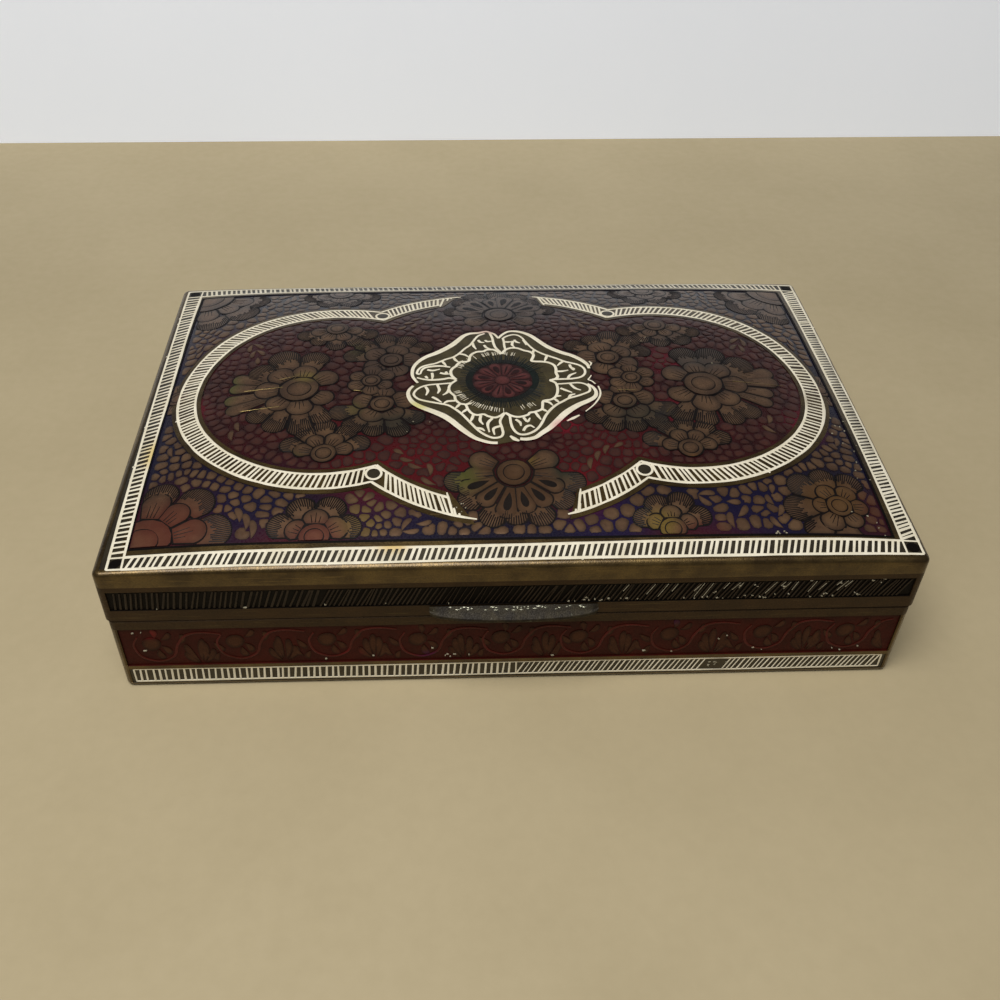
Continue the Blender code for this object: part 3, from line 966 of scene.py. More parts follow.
@dataclass(frozen=True)
class Cartouche:
    """The lobed frame: one large circle with a smaller one at each end."""

    half_length: float
    half_width: float
    side_margin: float = 9.1
    lobe_side_margin: float = 17.5
    lobe_end_margin: float = 7.7
    width: float = 4.3
    edge: float = 0.9
    rail_inset: float = 0.3
    plate_relief: float = -0.10
    line_relief: float = -0.06
    ground_relief: float = -0.22
    cusp_radius: float = 1.25
    end_slant: float = 3.0
    open_front: tuple[float, float, float, float] = (9.5, 18.9, 14.8, 20.8)
    open_back: tuple[float, float, float, float] = (11.0, 20.0, 13.4, 18.4)

    @property
    def centre_radius(self) -> float:
        """Radius of the large circle, over the band."""
        return self.half_width - self.side_margin

    @property
    def lobe_radius(self) -> float:
        """Radius of the end circles, over the band."""
        return self.half_width - self.lobe_side_margin

    @property
    def lobe_centre(self) -> float:
        """How far the end circles' centres lie from the middle."""
        return self.half_length - self.lobe_end_margin - self.lobe_radius

    def cusp(self, grow: float) -> Point:
        """Where the circles, grown by a distance, cross in the first quarter."""
        big, small = self.centre_radius + grow, self.lobe_radius + grow
        x = (big ** 2 - small ** 2 + self.lobe_centre ** 2) / (2 * self.lobe_centre)
        return (x, sqrt(big ** 2 - x ** 2))

    def holds(self, x: Array, y: Array, grow: float) -> Array:
        """Which points lie inside the frame, grown by a distance."""
        in_centre = x ** 2 + y ** 2 < (self.centre_radius + grow) ** 2
        in_lobe = (np.abs(x) - self.lobe_centre) ** 2 + y ** 2 < (self.lobe_radius + grow) ** 2
        return in_centre | in_lobe

    def lobe_line(self, side: int, grow: float) -> Array:
        """One end circle, grown by a distance, from its front cusp round to its back one."""
        x, y = self.cusp(grow)
        reach = degrees(atan2(y, x - self.lobe_centre))
        line = arc((self.lobe_centre, 0.0), self.lobe_radius + grow, -reach, reach, 0.8)
        return line * (side, 1)

    def centre_line(self, side: int, back: int, grow: float, stop: float) -> Array:
        """A stretch of the large circle from a cusp to a few degrees beside the short axis."""
        x, y = self.cusp(grow)
        line = arc((0.0, 0.0), self.centre_radius + grow, degrees(atan2(y, x)), 90 - stop, 0.8)
        return line * (side, back)

    def build(self, hand: Hand) -> None:
        """Make the frame's metal plate, cusp dots, rails and strokes.

        Args:
            hand: What it is cut with.
        """
        crown, rng, tint = hand
        plate, dots, rails, strokes = Relief(), Relief(), Rails(), Strokes()
        outer_grow, inner_grow = -self.rail_inset, self.rail_inset - self.width
        plate_grows, base = (-self.width - self.edge, self.edge), self.ground_relief - 0.04
        quarters = [(side, back) for side in (1, -1) for back in (1, -1)]
        for side, ladder in ((1, Ladder(1.15, 0.5, self.line_relief)), (-1, Ladder(1.05, 0.5, self.line_relief))):
            plate.ribbon(*self.paired(*(self.lobe_line(side, grow) for grow in plate_grows)), self.plate_relief, base)
            inner, outer = self.paired(self.lobe_line(side, inner_grow), self.lobe_line(side, outer_grow))
            ladder.draw(inner, outer, 0.1 if side > 0 else -0.6, rails, strokes, rng, self.cusp_gaps(inner, True))
        for number, (side, back) in enumerate(quarters):
            ends = self.open_back if back > 0 else self.open_front
            stop_outer, stop_inner = ends[2:] if side > 0 else ends[:2]
            stops = zip(plate_grows, (stop_inner, stop_outer))
            strip = (self.centre_line(side, back, grow, stop) for grow, stop in stops)
            plate.ribbon(*self.paired(*strip), self.plate_relief - 0.006 * (number + 1), base)
            inner, outer = self.paired(
                self.centre_line(side, back, inner_grow, stop_inner), self.centre_line(side, back, outer_grow,
                stop_inner - self.end_slant))
            ladder.draw(inner, outer, 0.6 * side * back, rails, strokes, rng, self.cusp_gaps(inner, False))
            rails.add(straight(inner[-1], outer[-1], 0.6), ladder.relief, 0.9)
            whole = self.centre_line(side, back, outer_grow, stop_outer)
            beyond = whole[np.abs(whole[:, 0]) < abs(outer[-1][0]) + 0.4]
            rails.add(beyond, ladder.relief, (1.1, 0.9, 0.5))
            for share in (0.2, 0.45):
                foot, lean = beyond[int(share * (len(beyond) - 1))], inner[-1] - outer[-1]
                strokes.add(foot, foot + lean * (0.62 - share), 0.45, ladder.relief + 0.005)
            spike = inner[-1] - (outer[-1] - inner[-1]) * 0.28
            rails.add(straight(inner[-1], spike, 0.4), ladder.relief, (0.9, 0.4))
            x, y = self.cusp((inner_grow + outer_grow) / 2)
            middle = (side * x, back * y)
            rails.add(disc(middle, self.cusp_radius + 0.25, 20), ladder.relief, 0.85, closed=True)
            dots.pad(disc(middle, self.cusp_radius, 20), -0.06, self.plate_relief - 0.05)
        plate.finish("cartouche_metal_band", crown, AGED_BRASS)
        dots.finish("cartouche_cusp_dots", crown, BORDER_BRASS)
        rails.finish("cartouche_rails", crown, CREAM_PASTE, 0.55, 0.14, tint=tint)
        strokes.finish("cartouche_strokes", crown, CREAM_PASTE, 0.14, tint=tint)

    def cusp_gaps(self, line: Array, both: bool) -> tuple[tuple[float, float], ...]:
        """Stretches beside the cusp dots, as shares of a line, that carry no strokes."""
        share = (self.cusp_radius + 0.7) / np.hypot(*np.diff(line, axis=0).T).sum()
        return ((0.0, share), (1.0 - share, 1.0)) if both else ((0.0, share),)

    @staticmethod
    def paired(inner: Array, outer: Array) -> tuple[Array, Array]:
        """Both lines with the longer one's count of points."""
        count = max(len(inner), len(outer))
        made = []
        for line in (inner, outer):
            shares = np.linspace(0, len(line) - 1, count)
            made.append(np.column_stack([np.interp(shares, np.arange(len(line)), line[:, axis]) for axis in (0, 1)]))
        return made[0], made[1]

@dataclass(frozen=True)
class Border:
    """The ladder of cream strokes round the lid, drawn by hand and so a little askew."""

    outer: tuple[Point, Point, Point, Point] = ((-73.3, -48.6), (74.9, -48.1), (75.0, 48.4), (-74.4, 48.4))
    inner: tuple[Point, Point, Point, Point] = ((-70.6, -45.8), (71.8, -44.9), (71.8, 45.4), (-71.0, 45.4))
    leans: tuple[float, float, float, float] = (-1.0, 1.5, 0.5, 0.15)
    spacings: tuple[float, float, float, float] = (1.2, 1.0, 1.2, 1.25)
    cell_inset: float = 0.35

    def build(self, hand: Hand) -> None:
        """Make the rails, the strokes and the dark corner cells.

        Args:
            hand: What it is cut with.
        """
        crown, rng, tint = hand
        rails, strokes, cells = Rails(), Strokes(), Relief()
        for place in range(4):
            after = (place + 1) % 4
            ladder = Ladder(spacing=self.spacings[place], over_share=0.3 if place == 0 else 0.12)
            long = place % 2 == 0
            inner_start, inner_end = np.array(self.inner[place]), np.array(self.inner[after])
            outer_start, outer_end = np.array(self.outer[place]), np.array(self.outer[after])
            axis = 1 if long else 0
            facing_start, facing_end = inner_start.copy(), inner_end.copy()
            facing_start[axis], facing_end[axis] = outer_start[axis], outer_end[axis]
            wobble = rng.uniform(0, 6, 2)
            inner = self.waved(inner_start, inner_end, axis, wobble[0])
            outer = self.waved(facing_start, facing_end, axis, wobble[1])
            ladder.draw(inner, outer, self.leans[place], rails, strokes, rng)
            for corner in (inner_start, inner_end):
                far = np.array(self.outer[place if corner is inner_start else after])
                near = corner.copy()
                near[axis] = far[axis]
                rails.add(straight(near, far, 0.5), ladder.relief, 0.9)
                rails.add(straight(corner, near, 0.5), ladder.relief, 0.7)
            low = np.minimum(self.inner[place], self.outer[place]) + self.cell_inset
            high = np.maximum(self.inner[place], self.outer[place]) - self.cell_inset
            middle, reach = (low + high) / 2, (high - low) / 2
            cell = disc(middle, min(reach), 16) if place else disc(middle, min(reach) * 1.15, 8, 0.1)
            cells.pad(cell, -0.07, -0.2)
        rails.finish("border_rails", crown, CREAM_PASTE, 0.55, 0.16, tint=tint)
        strokes.finish("border_strokes", crown, CREAM_PASTE, 0.16, tint=tint)
        cells.finish("border_corner_cells", crown, BLACK_ENAMEL)

    @staticmethod
    def waved(start: Array, end: Array, axis: int, phase: float) -> Array:
        """A rail that wanders a little off the straight."""
        line = straight(start, end, 1.5)
        run = np.linspace(0, 1, len(line))
        line[:, axis] += 0.09 * np.sin(9 * run + phase) * np.sin(pi * run)
        return line


def traced(pairs: str) -> Array:
    """Points written as pairs of x and y, in tenths of a millimetre."""
    return np.array([pair.split(",") for pair in pairs.split()], float) / 10


@dataclass(frozen=True)
class Trace:
    """One cream line of the medallion: its widths along it, and the points that it flows through."""

    widths: tuple[float, ...]
    pairs: str

    def line(self, steps: int) -> Array:
        """The flowing line."""
        return flowing(traced(self.pairs), steps)


@dataclass(frozen=True)
class Medallion:
    """The quatrefoil in the middle: cream lines on brass, a fringed ring and a red rosette.

    The lines are written quarter by quarter, because the engraver drew all four differently.
    """

    middle: Point = (0.1, 0.2)
    rim_lines: tuple[Trace, ...] = (
        Trace((0.5, 0.6, 0.9, 1, 0.9, 0.5),
        "1,169 10,184 21,196 32,200 46,198 60,191 74,178 85,162 99,141 113,124 135,106 155,94 171,80 183,64 "
        "188,53 189,42"), Trace((0.45, 0.5, 0.7, 1.1, 1.1, 0.7, 0.6,
        0.45),
        "1,169 -7,187 -18,196 -26,200 -43,194 -62,191 -76,181 -88,163 -101,144 -118,126 -138,109 -160,94 "
        "-176,76 -186,56 -189,37 -188,20 -182,5 -177,-4"), Trace((0.5, 0.7, 1, 1.25, 1.1, 0.7, 0.6),
        "-187,-15 -194,-27 -197,-41 -194,-58 -186,-74 -171,-88 -149,-102 -126,-118 -110,-134 -96,-152 -79,-173 "
        "-62,-190 -46,-199 -32,-204 -19,-205"), Trace((0.5, 0.65, 1, 1.25, 1.1, 0.8, 0.7),
        "179,-16 189,-27 194,-44 190,-61 176,-74 154,-88 135,-104 118,-122 104,-141 88,-161 71,-177 57,-190 "
        "40,-195 26,-194"))
    lines: tuple[Trace, ...] = (
        Trace((0.45, 0.4, 0.5, 0.45, 0.5),
        "12.5,170 21,178 35,184 46,180 54,169 60,153 68,134 78,117 93,102 107,92 124,81 140,69 160,60 172,52 "
        "179,39 178,23 168,10 149,4 126,3 106,2"), Trace((0.45,),
        "-29,191 -43,181 -51,167 -57,153 -64,139 -75,126 -88,106 -101,92 -118,83 -138,69 -154,63 -168,56 "
        "-176,45 -179,31 -173,28"), Trace((0.3, 0.5, 0.6, 0.4), "-172,28 -169,42 -163,51 -151,56 -129,58 -108,53"),
        Trace((0.35, 0.55, 0.5), "-179,15 -165,9 -149,6 -126,8 -110,12 -98,8"),
        Trace((0.5,), "-17,192 -12.5,170 -11,148 -7,128 1,112 4,102"), Trace((0.45,),
        "11,170 12.5,153 12.5,137 14,121"), Trace((0.4, 0.5,
        0.45),
        "-104,-6 -129,-9 -154,-12 -171,-20 -182,-33 -185,-47 -176,-61 -160,-69 -138,-76 -115,-84 -101,-97 "
        "-88,-113 -76,-133 -65,-152 -54,-169 -40,-183 -26,-190 -12,-187 -7,-177 -8,-161 -11,-141 -7,-127 0,-113"),
        Trace((0.4, 0.5, 0.45),
        "114,-15 138,-13 160,-11 174,-16 182,-27 181,-41 171,-49 154,-58 135,-66 121,-77 107,-88 93,-105 "
        "82,-124 74,-144 65,-161 54,-173 38,-181 24,-179 15,-166 11,-149 10,-133 9,-122 1,-112"),
        Trace((0.55,),
        "5,103 15,120 29,127 43,124 54,116 68,109 74,98 71,84 68,74 76,71 90,70 104,66 115,56 118,42 117,26 "
        "119,12 112,3 101,-1"), Trace((0.55,),
        "3,105 -10,119 -18,121 -27,120 -35,114 -49,112 -60,103 -65,92 -67,78 -74,73 -85,73 -92,64 -96,56 "
        "-103,48 -107,37 -106,23 -101,13 -96,6"), Trace((0.5,),
        "-96,4 -108,-10 -112,-24 -110,-38 -101,-52 -99,-66 -90,-79 -79,-83 -75,-97 -68,-111 -57,-118 -43,-116 "
        "-35,-122 -21,-127 -10,-122 0,-112"), Trace((0.5,),
        "101,-1 112,-10 115,-24 114,-41 109,-58 99,-69 82,-74 79,-88 76,-102 62,-110 51,-113 46,-120 29,-126 "
        "15,-123 1,-112"), Trace((0.3, 0.35, 0.2), "201,-24 203,-44 199,-63 185,-88 165,-111"),
        Trace((0.3, 0.25), "182,0 190,-6 196,-16"), Trace((0.2, 0.3), "191,16 186,6 182,0"),
        Trace((0.25, 0.4, 0.2), "192,69 196,62 193,52"), Trace((0.3, 0.6, 0.3), "124,-141 138,-132 151,-123"),
        Trace((0.4, 0.8, 0.4), "7,-185 15,-194 24,-200"))
    twigs: str = (
        "12,153 22,152 32,154 / 33,156 30,140 35,129 / 36,161 40,152 48,147 / 56,160 60,148 61,138 / 77,117 74,109 "
        "74,99 / 103,93 100,83 96,71 / 136,70 130,64 122,53 / 149,57 151,46 159,41 / 119,32 130,32 144,36 / 140,5 "
        "146,17 160,26 / 157,36 150,45 / -44,162 -40,153 -31,151 / -29,161 -24,155 -13,157 / -32,140 -27,129 -18,123 "
        "/ -57,150 -55,136 -50,123 / -88,105 -76,101 -66,90 / -100,90 -96,80 -89,71 / -126,78 -121,68 -116,57 / "
        "-157,44 -145,41 -130,46 / -130,32 -120,28 -108,27 / -118,36 -114,26 / -147,32 -146,20 -147,8 / -161,20 "
        "-156,11 / -100,-69 -116,-71 -125,-80 / -90,-80 -100,-95 / -77,-99 -87,-110 / -64,-117 -67,-129 -71,-140 / "
        "-161,-18 -156,-33 -160,-49 / -136,-12 -132,-30 -136,-43 / -112,-27 -116,-40 -125,-49 / -147,-55 -139,-62 "
        "-128,-74 / -49,-120 -51,-136 -45,-149 / -26,-129 -36,-146 -34,-173 / -11,-154 -25,-162 -24,-181 / -60,-159 "
        "-49,-162 -43,-169 / -79,-83 -66,-77 / 121,-30 132,-38 144,-46 / 143,-15 151,-30 163,-38 / 135,-66 140,-55 "
        "150,-51 / 82,-75 93,-79 100,-90 / 77,-101 87,-110 / 62,-111 67,-124 72,-136 / 106,-68 114,-80 / 108,-58 "
        "120,-57 / 21,-134 29,-144 30,-155 / 37,-128 44,-141 50,-130 / 34,-170 40,-158 49,-154 57,-161")
    bed_relief: float = -0.11
    line_relief: float = -0.06
    fringe_root: float = 6.4
    fringe_tip: float = 9.4
    fringe_count: int = 150
    rosette_radius: float = 6.2
    rosette_petals: int = 12
    disc_radius: float = 1.6

    def outline(self, grow: float) -> Array:
        """The whole quatrefoil's outline, grown by a distance."""
        turns = [trace.line(4) for trace in self.rim_lines]
        whole = np.vstack((turns[0][::-1], turns[1], turns[2], turns[3][::-1]))
        away = whole - self.middle
        return whole + grow * away / np.hypot(*away.T)[:, None]

    def build(self, hand: Hand, canvas: Canvas) -> None:
        """Make the bed, the lines, the fringe and the rosette.

        Args:
            hand: What it is cut with.
            canvas: Learns where the medallion lies.
        """
        crown, rng, tint = hand
        bed, lines = Relief(), Rails()
        bed.pad(self.outline(0.3), self.bed_relief, -0.25, 0.0, np.array(self.middle), (0.2, 0.4, 0.6, 0.8, 1.0))
        canvas.cover(self.outline(0.8))
        for trace in (*self.rim_lines, *self.lines):
            lines.add(trace.line(5), self.line_relief, trace.widths)
        for twig in self.twigs.split("/"):
            lines.add(flowing(traced(twig), 4), self.line_relief, (0.5, 0.55, 0.25))
        bed.finish("medallion_brass_bed", crown, MEDALLION_BRASS)
        lines.finish("medallion_cream_lines", crown, CREAM_PASTE, 1.15, 0.14, tint=tint)
        self.build_fringe(crown, rng)
        self.build_rosette(crown, rng)

    def build_fringe(self, crown: Surface, rng: Rng) -> None:
        """Make the ring of fine dark cuts and the short white ones outside it."""
        dark, white, ground = Strokes(), Strokes(), Relief()
        ground.pad(disc(self.middle, self.fringe_root + 1.4, 60, 0.02), self.bed_relief + 0.006, -0.2, 0.0)
        ground.finish("medallion_fringe_ground", crown, FRINGE_ENAMEL)
        for number in range(self.fringe_count):
            turn = 360 * (number + 0.3 * rng.standard_normal()) / self.fringe_count
            strong = abs(sin(radians(turn))) > 0.45
            root = self.fringe_root + 0.3 * rng.random() + (0 if strong else 1.2)
            tip = self.fringe_tip + (0.9 if strong else -0.4) * rng.random()
            along = heading(turn)
            dark.add(self.middle + along * root, self.middle + along * tip, 0.3 if strong else 0.16, self.bed_relief)
            sunny = 68 < turn < 112 or 118 < turn < 150 or 196 < turn < 268 or 285 < turn < 305
            if sunny and rng.random() < 0.8:
                start = 9.5 + 0.5 * rng.random()
                white.add(self.middle + heading(turn + 2) * start, self.middle + heading(turn + 2) * (start + 1.3),
                          0.17, self.line_relief)
        dark.finish("medallion_dark_fringe", crown, FRINGE_ENAMEL, 0.1, 0.6)
        white.finish("medallion_white_fringe", crown, CREAM_PASTE, 0.1, 0.6)

    def build_rosette(self, crown: Surface, rng: Rng) -> None:
        """Make the red rosette: petals with a dark drop in each, and a disc."""
        petals, dark = Relief(), Relief()
        spread = 360 / self.rosette_petals
        dark.pad(disc(self.middle, self.rosette_radius + 0.15, 36, 0.01), self.bed_relief + 0.014, -0.2, 0.0)
        for number in range(self.rosette_petals):
            turn = spread * (number + 0.5) + 1.5 * rng.standard_normal()
            tip = self.rosette_radius * (1 + 0.04 * rng.standard_normal())
            petals.pad(wedge(self.middle, turn, self.disc_radius + 0.15, tip, spread, 0.3), -0.08, -0.2, 0.03)
            out, length, breadth = (2.4, 2.9, 1.5) if number % 2 else (2.0, 3.4, 0.5)
            dark.pad(leaf(self.middle + heading(turn) * out, turn, length, breadth), -0.045, -0.1, 0.01)
        petals.pad(disc(self.middle, self.disc_radius, 18), -0.06, -0.2, 0.03)
        petals.finish("rosette_petals", crown, ROSETTE_GLAZE)
        dark.finish("rosette_dark_cuts", crown, ROSETTE_CUTS)


def mirrored_turn(turn: float, side: int, back: int) -> float:
    """A heading, mirrored left to right for a side of -1 and front to back for a back of -1."""
    return (180 - turn if side < 0 else turn) * back


@dataclass(frozen=True)
class Petals:
    """One ring of petals round a flower's middle."""

    first: float
    last: float
    count: int
    root: float
    tip: float
    layer: int = 1
    fringed: bool = False
    drop: bool = False

    def mirrored(self, side: int, back: int) -> "Petals":
        """The ring, mirrored left to right for a side of -1 and front to back for a back of -1."""
        return replace(self, first=mirrored_turn(self.first, side, back), last=mirrored_turn(self.last, side, back))


@dataclass(frozen=True)
class Blossom:
    """A flower head: rings of petals, the outer ones lowest, round a disc."""

    middle: Point
    disc: float
    rings: tuple[Petals, ...]

    def mirrored(self, side: int, back: int) -> "Blossom":
        """The flower, mirrored left to right for a side of -1 and front to back for a back of -1."""
        return replace(self, middle=(self.middle[0] * side, self.middle[1] * back),
                       rings=tuple(ring.mirrored(side, back) for ring in self.rings))


@dataclass(frozen=True)
class Spray:
    """A stem with pairs of leaves."""

    root: Point
    turn: float
    length: float
    pairs: int
    leaf_length: float
    leaf_width: float = 1.3
    bend: float = 25.0

    def mirrored(self, side: int, back: int) -> "Spray":
        """The spray, mirrored left to right for a side of -1 and front to back for a back of -1."""
        return replace(self, root=(self.root[0] * side, self.root[1] * back),
                       turn=mirrored_turn(self.turn, side, back), bend=self.bend * side * back)


@dataclass
class FlowerField:
    """The lid's engraved field: flower heads, sprays and, between them, pebbles."""

    cartouche: Cartouche
    canvas: Canvas
    rng: Rng
    foot: float = -0.25
    contour: float = 0.22
    spacings: tuple[Point, ...] = ((2.7, 1.3), (2.3, 0.9), (1.8, 0.6), (1.4, 0.42))
    channel: float = 0.36
    longest: float = 1.65
    cell_points: int = 12
    darts: int = 6000
    reach: Point = (69.9, 43.65)
    contours: Relief = field(default_factory=Relief)
    metal: Relief = field(default_factory=Relief)
    drops: Relief = field(default_factory=Relief)
    pebbles: Relief = field(default_factory=Relief)
    veiled_pebbles: Relief = field(default_factory=Relief)
    fringes: Strokes = field(default_factory=Strokes)

    def level(self, layer: int) -> float:
        """Relief of a layer's petals."""
        return -0.20 + 0.035 * layer

    def petal(self, middle: Array, turn: float, ring: Petals, tip: float, spread: float) -> None:
        """Add one petal with its dark outline, and its fringe or drop.

        Args:
            middle: The flower's centre.
            turn: The petal's heading.
            ring: The ring it belongs to.
            tip: How far out it ends.
            spread: Heading to the next petal.
        """
        level = self.level(ring.layer)
        around = self.kept(wedge(middle, turn, max(ring.root - 0.4, 0.1), tip + self.contour, spread, -self.contour))
        self.contours.pad(around, level - 0.02, self.foot, 0.0, shares=(1.0,))
        self.metal.pad(self.kept(wedge(middle, turn, ring.root, tip, spread, 0.4)), level, level - 0.06, 0.02)
        self.canvas.cover(around)
        half = min(spread, 80.0) / 2
        if ring.drop:
            length = (tip - ring.root) * 0.62
            root = middle + heading(turn) * (ring.root + length * 0.25)
            breadth = min(tip * radians(spread) * 0.36, 2.0)
            self.drops.pad(leaf(root, turn, length, breadth), level + 0.03, level, 0.004, shares=(1.0,))
            return
        count = max(int(tip * radians(2 * half) / 0.5), 3) if ring.fringed else 3
        for share in np.linspace(-0.88, 0.88, count) if ring.fringed else (-0.35, 0.0, 0.35):
            end = tip * (1 - 0.16 * share ** 2) + 0.25 * self.rng.random()
            start = ring.root + (end - ring.root) * (0.36 + 0.24 * self.rng.random())
            if not ring.fringed:
                start, end = ring.root + 0.2, start + 0.6 * self.rng.random()
            ends = middle + heading(turn + half * share) * start, middle + heading(turn + half * share) * end
            if np.allclose(ends, self.kept(np.array(ends))):
                self.fringes.add(*ends, 0.3 if ring.fringed else 0.2, level + 0.01)

    def kept(self, shape: Array) -> Array:
        """The shape, cut off at the field's edge."""
        return np.clip(shape, *(np.array(self.reach) * side for side in (-1, 1)))

    def blossom(self, flower: Blossom) -> None:
        """Add a flower head."""
        middle = np.array(flower.middle)
        for ring in flower.rings:
            spread = abs(ring.last - ring.first) / max(ring.count - 1, 1)
            for turn in np.linspace(ring.first, ring.last, ring.count):
                tip = ring.tip * (1 + 0.05 * self.rng.standard_normal())
                self.petal(middle, turn + 1.5 * self.rng.standard_normal(), ring, tip, spread)
        if flower.disc:
            level = self.level(4)
            for share in (1.0, 0.6):
                around = self.kept(disc(middle, flower.disc * share + self.contour, 20))
                self.contours.pad(around, level - 0.02, self.foot, 0.0, middle, (1.0,))
                self.metal.pad(
                    self.kept(disc(middle, flower.disc * share, 20, 0.03)), level, level - 0.06, 0.01, middle)
                level += 0.03
            self.canvas.cover(self.kept(disc(middle, flower.disc + 0.5, 20)))

    def spray(self, made: Spray) -> None:
        """Add the leaves of a spray, each where nothing lies yet."""
        position = np.array(made.root, float)
        step = made.length / made.pairs
        for place in range(made.pairs + 1):
            turn = made.turn + made.bend * place / made.pairs
            for side in ((1, -1) if place < made.pairs else (0,)):
                shape = leaf(
                    position, turn + side * 48, made.leaf_length * (1 - 0.08 * place), made.leaf_width, -side * 20)
                middle = shape.mean(axis=0)
                if self.canvas.is_free(np.vstack((shape, middle))):
                    self.metal.pad(shape, -0.16, self.foot, 0.03)
                    self.canvas.cover(middle + (shape - middle) * 1.25)
            position = position + heading(turn) * step

    def seeds(self, half_length: float, half_width: float) -> Array:
        """Middles of the cells: darts kept apart by a distance that shrinks.

        Args:
            half_length: Half the field's length.
            half_width: Half its width.

        Returns:
            The middles.
        """
        turns = np.linspace(0, 2 * pi, 8, endpoint=False)
        rim = np.vstack(((0.0, 0.0), np.column_stack((np.cos(turns), np.sin(turns)))))
        found = np.full((1, 2), 1e3)
        for apart, clear in self.spacings:
            for dart in self.rng.uniform(-1, 1, (self.darts, 2)) * (half_length, half_width):
                if self.canvas.is_free(dart + rim * clear) and np.hypot(*(found - dart).T).min() > apart:
                    found = np.vstack((found, dart))
        return found[1:]

    def cell(self, middle: Array, seeds: Array) -> Array:
        """A rounded cell that ends half way to its neighbours or before what lies near it.

        Args:
            middle: The cell's middle.
            seeds: All cells' middles.

        Returns:
            The outline.
        """
        turns = np.linspace(0, 2 * pi, self.cell_points, endpoint=False)
        rays = np.column_stack((np.cos(turns), np.sin(turns)))
        away = seeds - middle
        far = np.hypot(*away.T)
        near = (far > 0.01) & (far < 3 * self.longest)
        lean = rays @ (away[near] / far[near, None]).T
        halves = (far[near] - self.channel) / 2 / np.maximum(lean, 0.05)
        reach = np.minimum(halves.min(axis=1, initial=self.longest), self.longest)
        steps = np.arange(0.3, self.longest + self.channel, 0.15)
        places = middle + rays[:, None] * steps[:, None]
        spots = ((places - self.canvas.low) / self.canvas.step).astype(int)
        spots = np.clip(spots, 0, np.array(self.canvas.taken.shape) - 1)
        met = self.canvas.taken[spots[..., 0], spots[..., 1]]
        wall = np.where(met.any(axis=1), steps[met.argmax(axis=1)] - self.channel / 2, self.longest)
        reach = np.maximum(np.minimum(reach, wall), 0.25)
        rounded = (np.roll(reach, 1) + 2 * reach + np.roll(reach, -1)) / 4
        return middle + rays * np.minimum(reach, rounded)[:, None]

    def fill(self, half_length: float, half_width: float) -> None:
        """Fill what is left with cells, veiled with crimson inside the cartouche.

        Args:
            half_length: Half the field's length.
            half_width: Half its width.
        """
        self.canvas.close_beyond(half_length, half_width)
        seeds = self.seeds(half_length, half_width)
        inside = self.cartouche.holds(*seeds.T, -self.cartouche.width)
        for middle, veiled in zip(seeds, inside):
            pile = self.veiled_pebbles if veiled else self.pebbles
            pile.pad(self.cell(middle, seeds), -0.17, self.foot, 0.035, middle, (0.7, 1.0))

    def finish(self, crown: Crown, tint: Tint, veil: Tint) -> None:
        """Show the field's pieces.

        Args:
            crown: The lid's face.
            tint: The stains and painted reflection outside the cartouche.
            veil: The stains and painted reflection inside it.
        """
        self.contours.finish("flower_contours", crown, CONTOUR_ENAMEL, tint=veil)
        self.metal.finish("flower_metal", crown, ENGRAVED_BRASS, tint=tint)
        self.drops.finish("flower_drops", crown, CONTOUR_ENAMEL, tint=veil)
        self.fringes.finish("flower_fringes", crown, CONTOUR_ENAMEL, 0.1, 0.7, tint=veil)
        self.pebbles.finish("outer_pebbles", crown, ENGRAVED_BRASS, tint=tint)
        self.veiled_pebbles.finish("inner_pebbles", crown, VEILED_BRASS, tint=veil)


Ring = tuple[Array, Array, Array]


@dataclass(frozen=True)
class Plan:
    """Rings of a rounded rectangle whose straight sides carry the ends of their panels."""

    half_length: float
    half_width: float
    radius: float = 1.5
    long_end: float = 74.25
    short_end: float = 48.0
    spacing: float = 2.0
    corner_points: int = 4
    step: float = 0.02

    def ring(self, inset: float, recess: float = 0.0) -> Ring:
        """One ring of the plan.

        Args:
            inset: How far inside the outline it lies.
            recess: How much further in the panels lie.

        Returns:
            Its points, which of them each place of the loft takes, and which places lie in a panel.
        """
        radius = max(self.radius - inset, 0.0)
        points, order, panels = [], [], []
        for quarter in Quarter:
            long = quarter.value % 2 == 0
            half, reach = (self.half_length, self.half_width) if long else (self.half_width, self.half_length)
            end = self.long_end if long else self.short_end
            full = half - self.radius
            inner = np.linspace(-end, end, int(2 * end / self.spacing) + 1)
            places = np.array((-full, -end - self.step, *inner, end + self.step, full))
            in_panel = np.abs(places) < end + self.step / 2
            straight_half = full if radius > 0 else max(half - inset - 0.7, 0.85 * (half - inset))
            along = places * straight_half / full
            out = np.full(len(places), reach - inset) - recess * in_panel
            corner = np.array(((half - inset, -(reach - inset)),))
            if radius > 0:
                turns = np.radians(np.linspace(-90, 0, self.corner_points + 2)[1:-1])
                corner = np.column_stack((full + radius * np.cos(turns), radius * np.sin(turns) - reach + self.radius))
            first = sum(map(len, points))
            count = len(places)
            order += range(first, first + count)
            order += [first + count + (place if radius > 0 else 0) for place in range(self.corner_points)]
            panels += in_panel.tolist() + [False] * self.corner_points
            turn = quarter.value * pi / 2
            turned = np.array(((cos(turn), sin(turn)), (-sin(turn), cos(turn))))
            points.append(np.vstack((np.column_stack((along, -out)), corner)) @ turned)
        return np.vstack(points), np.array(order), np.array(panels)

    def ridge(self, half_length: float) -> Ring:
        """A ring closed to a line along the middle, which ends a skin."""
        long_count, short_count = (int(2 * end / self.spacing) + 5 for end in (self.long_end, self.short_end))
        line = np.column_stack((np.linspace(-half_length, half_length, long_count), np.zeros(long_count)))
        forward, end_count = list(range(long_count)), 2 * self.corner_points + short_count
        order = forward + [long_count - 1] * end_count + forward[::-1] + [0] * end_count
        return line, np.array(order), self.ring(0.0)[2]


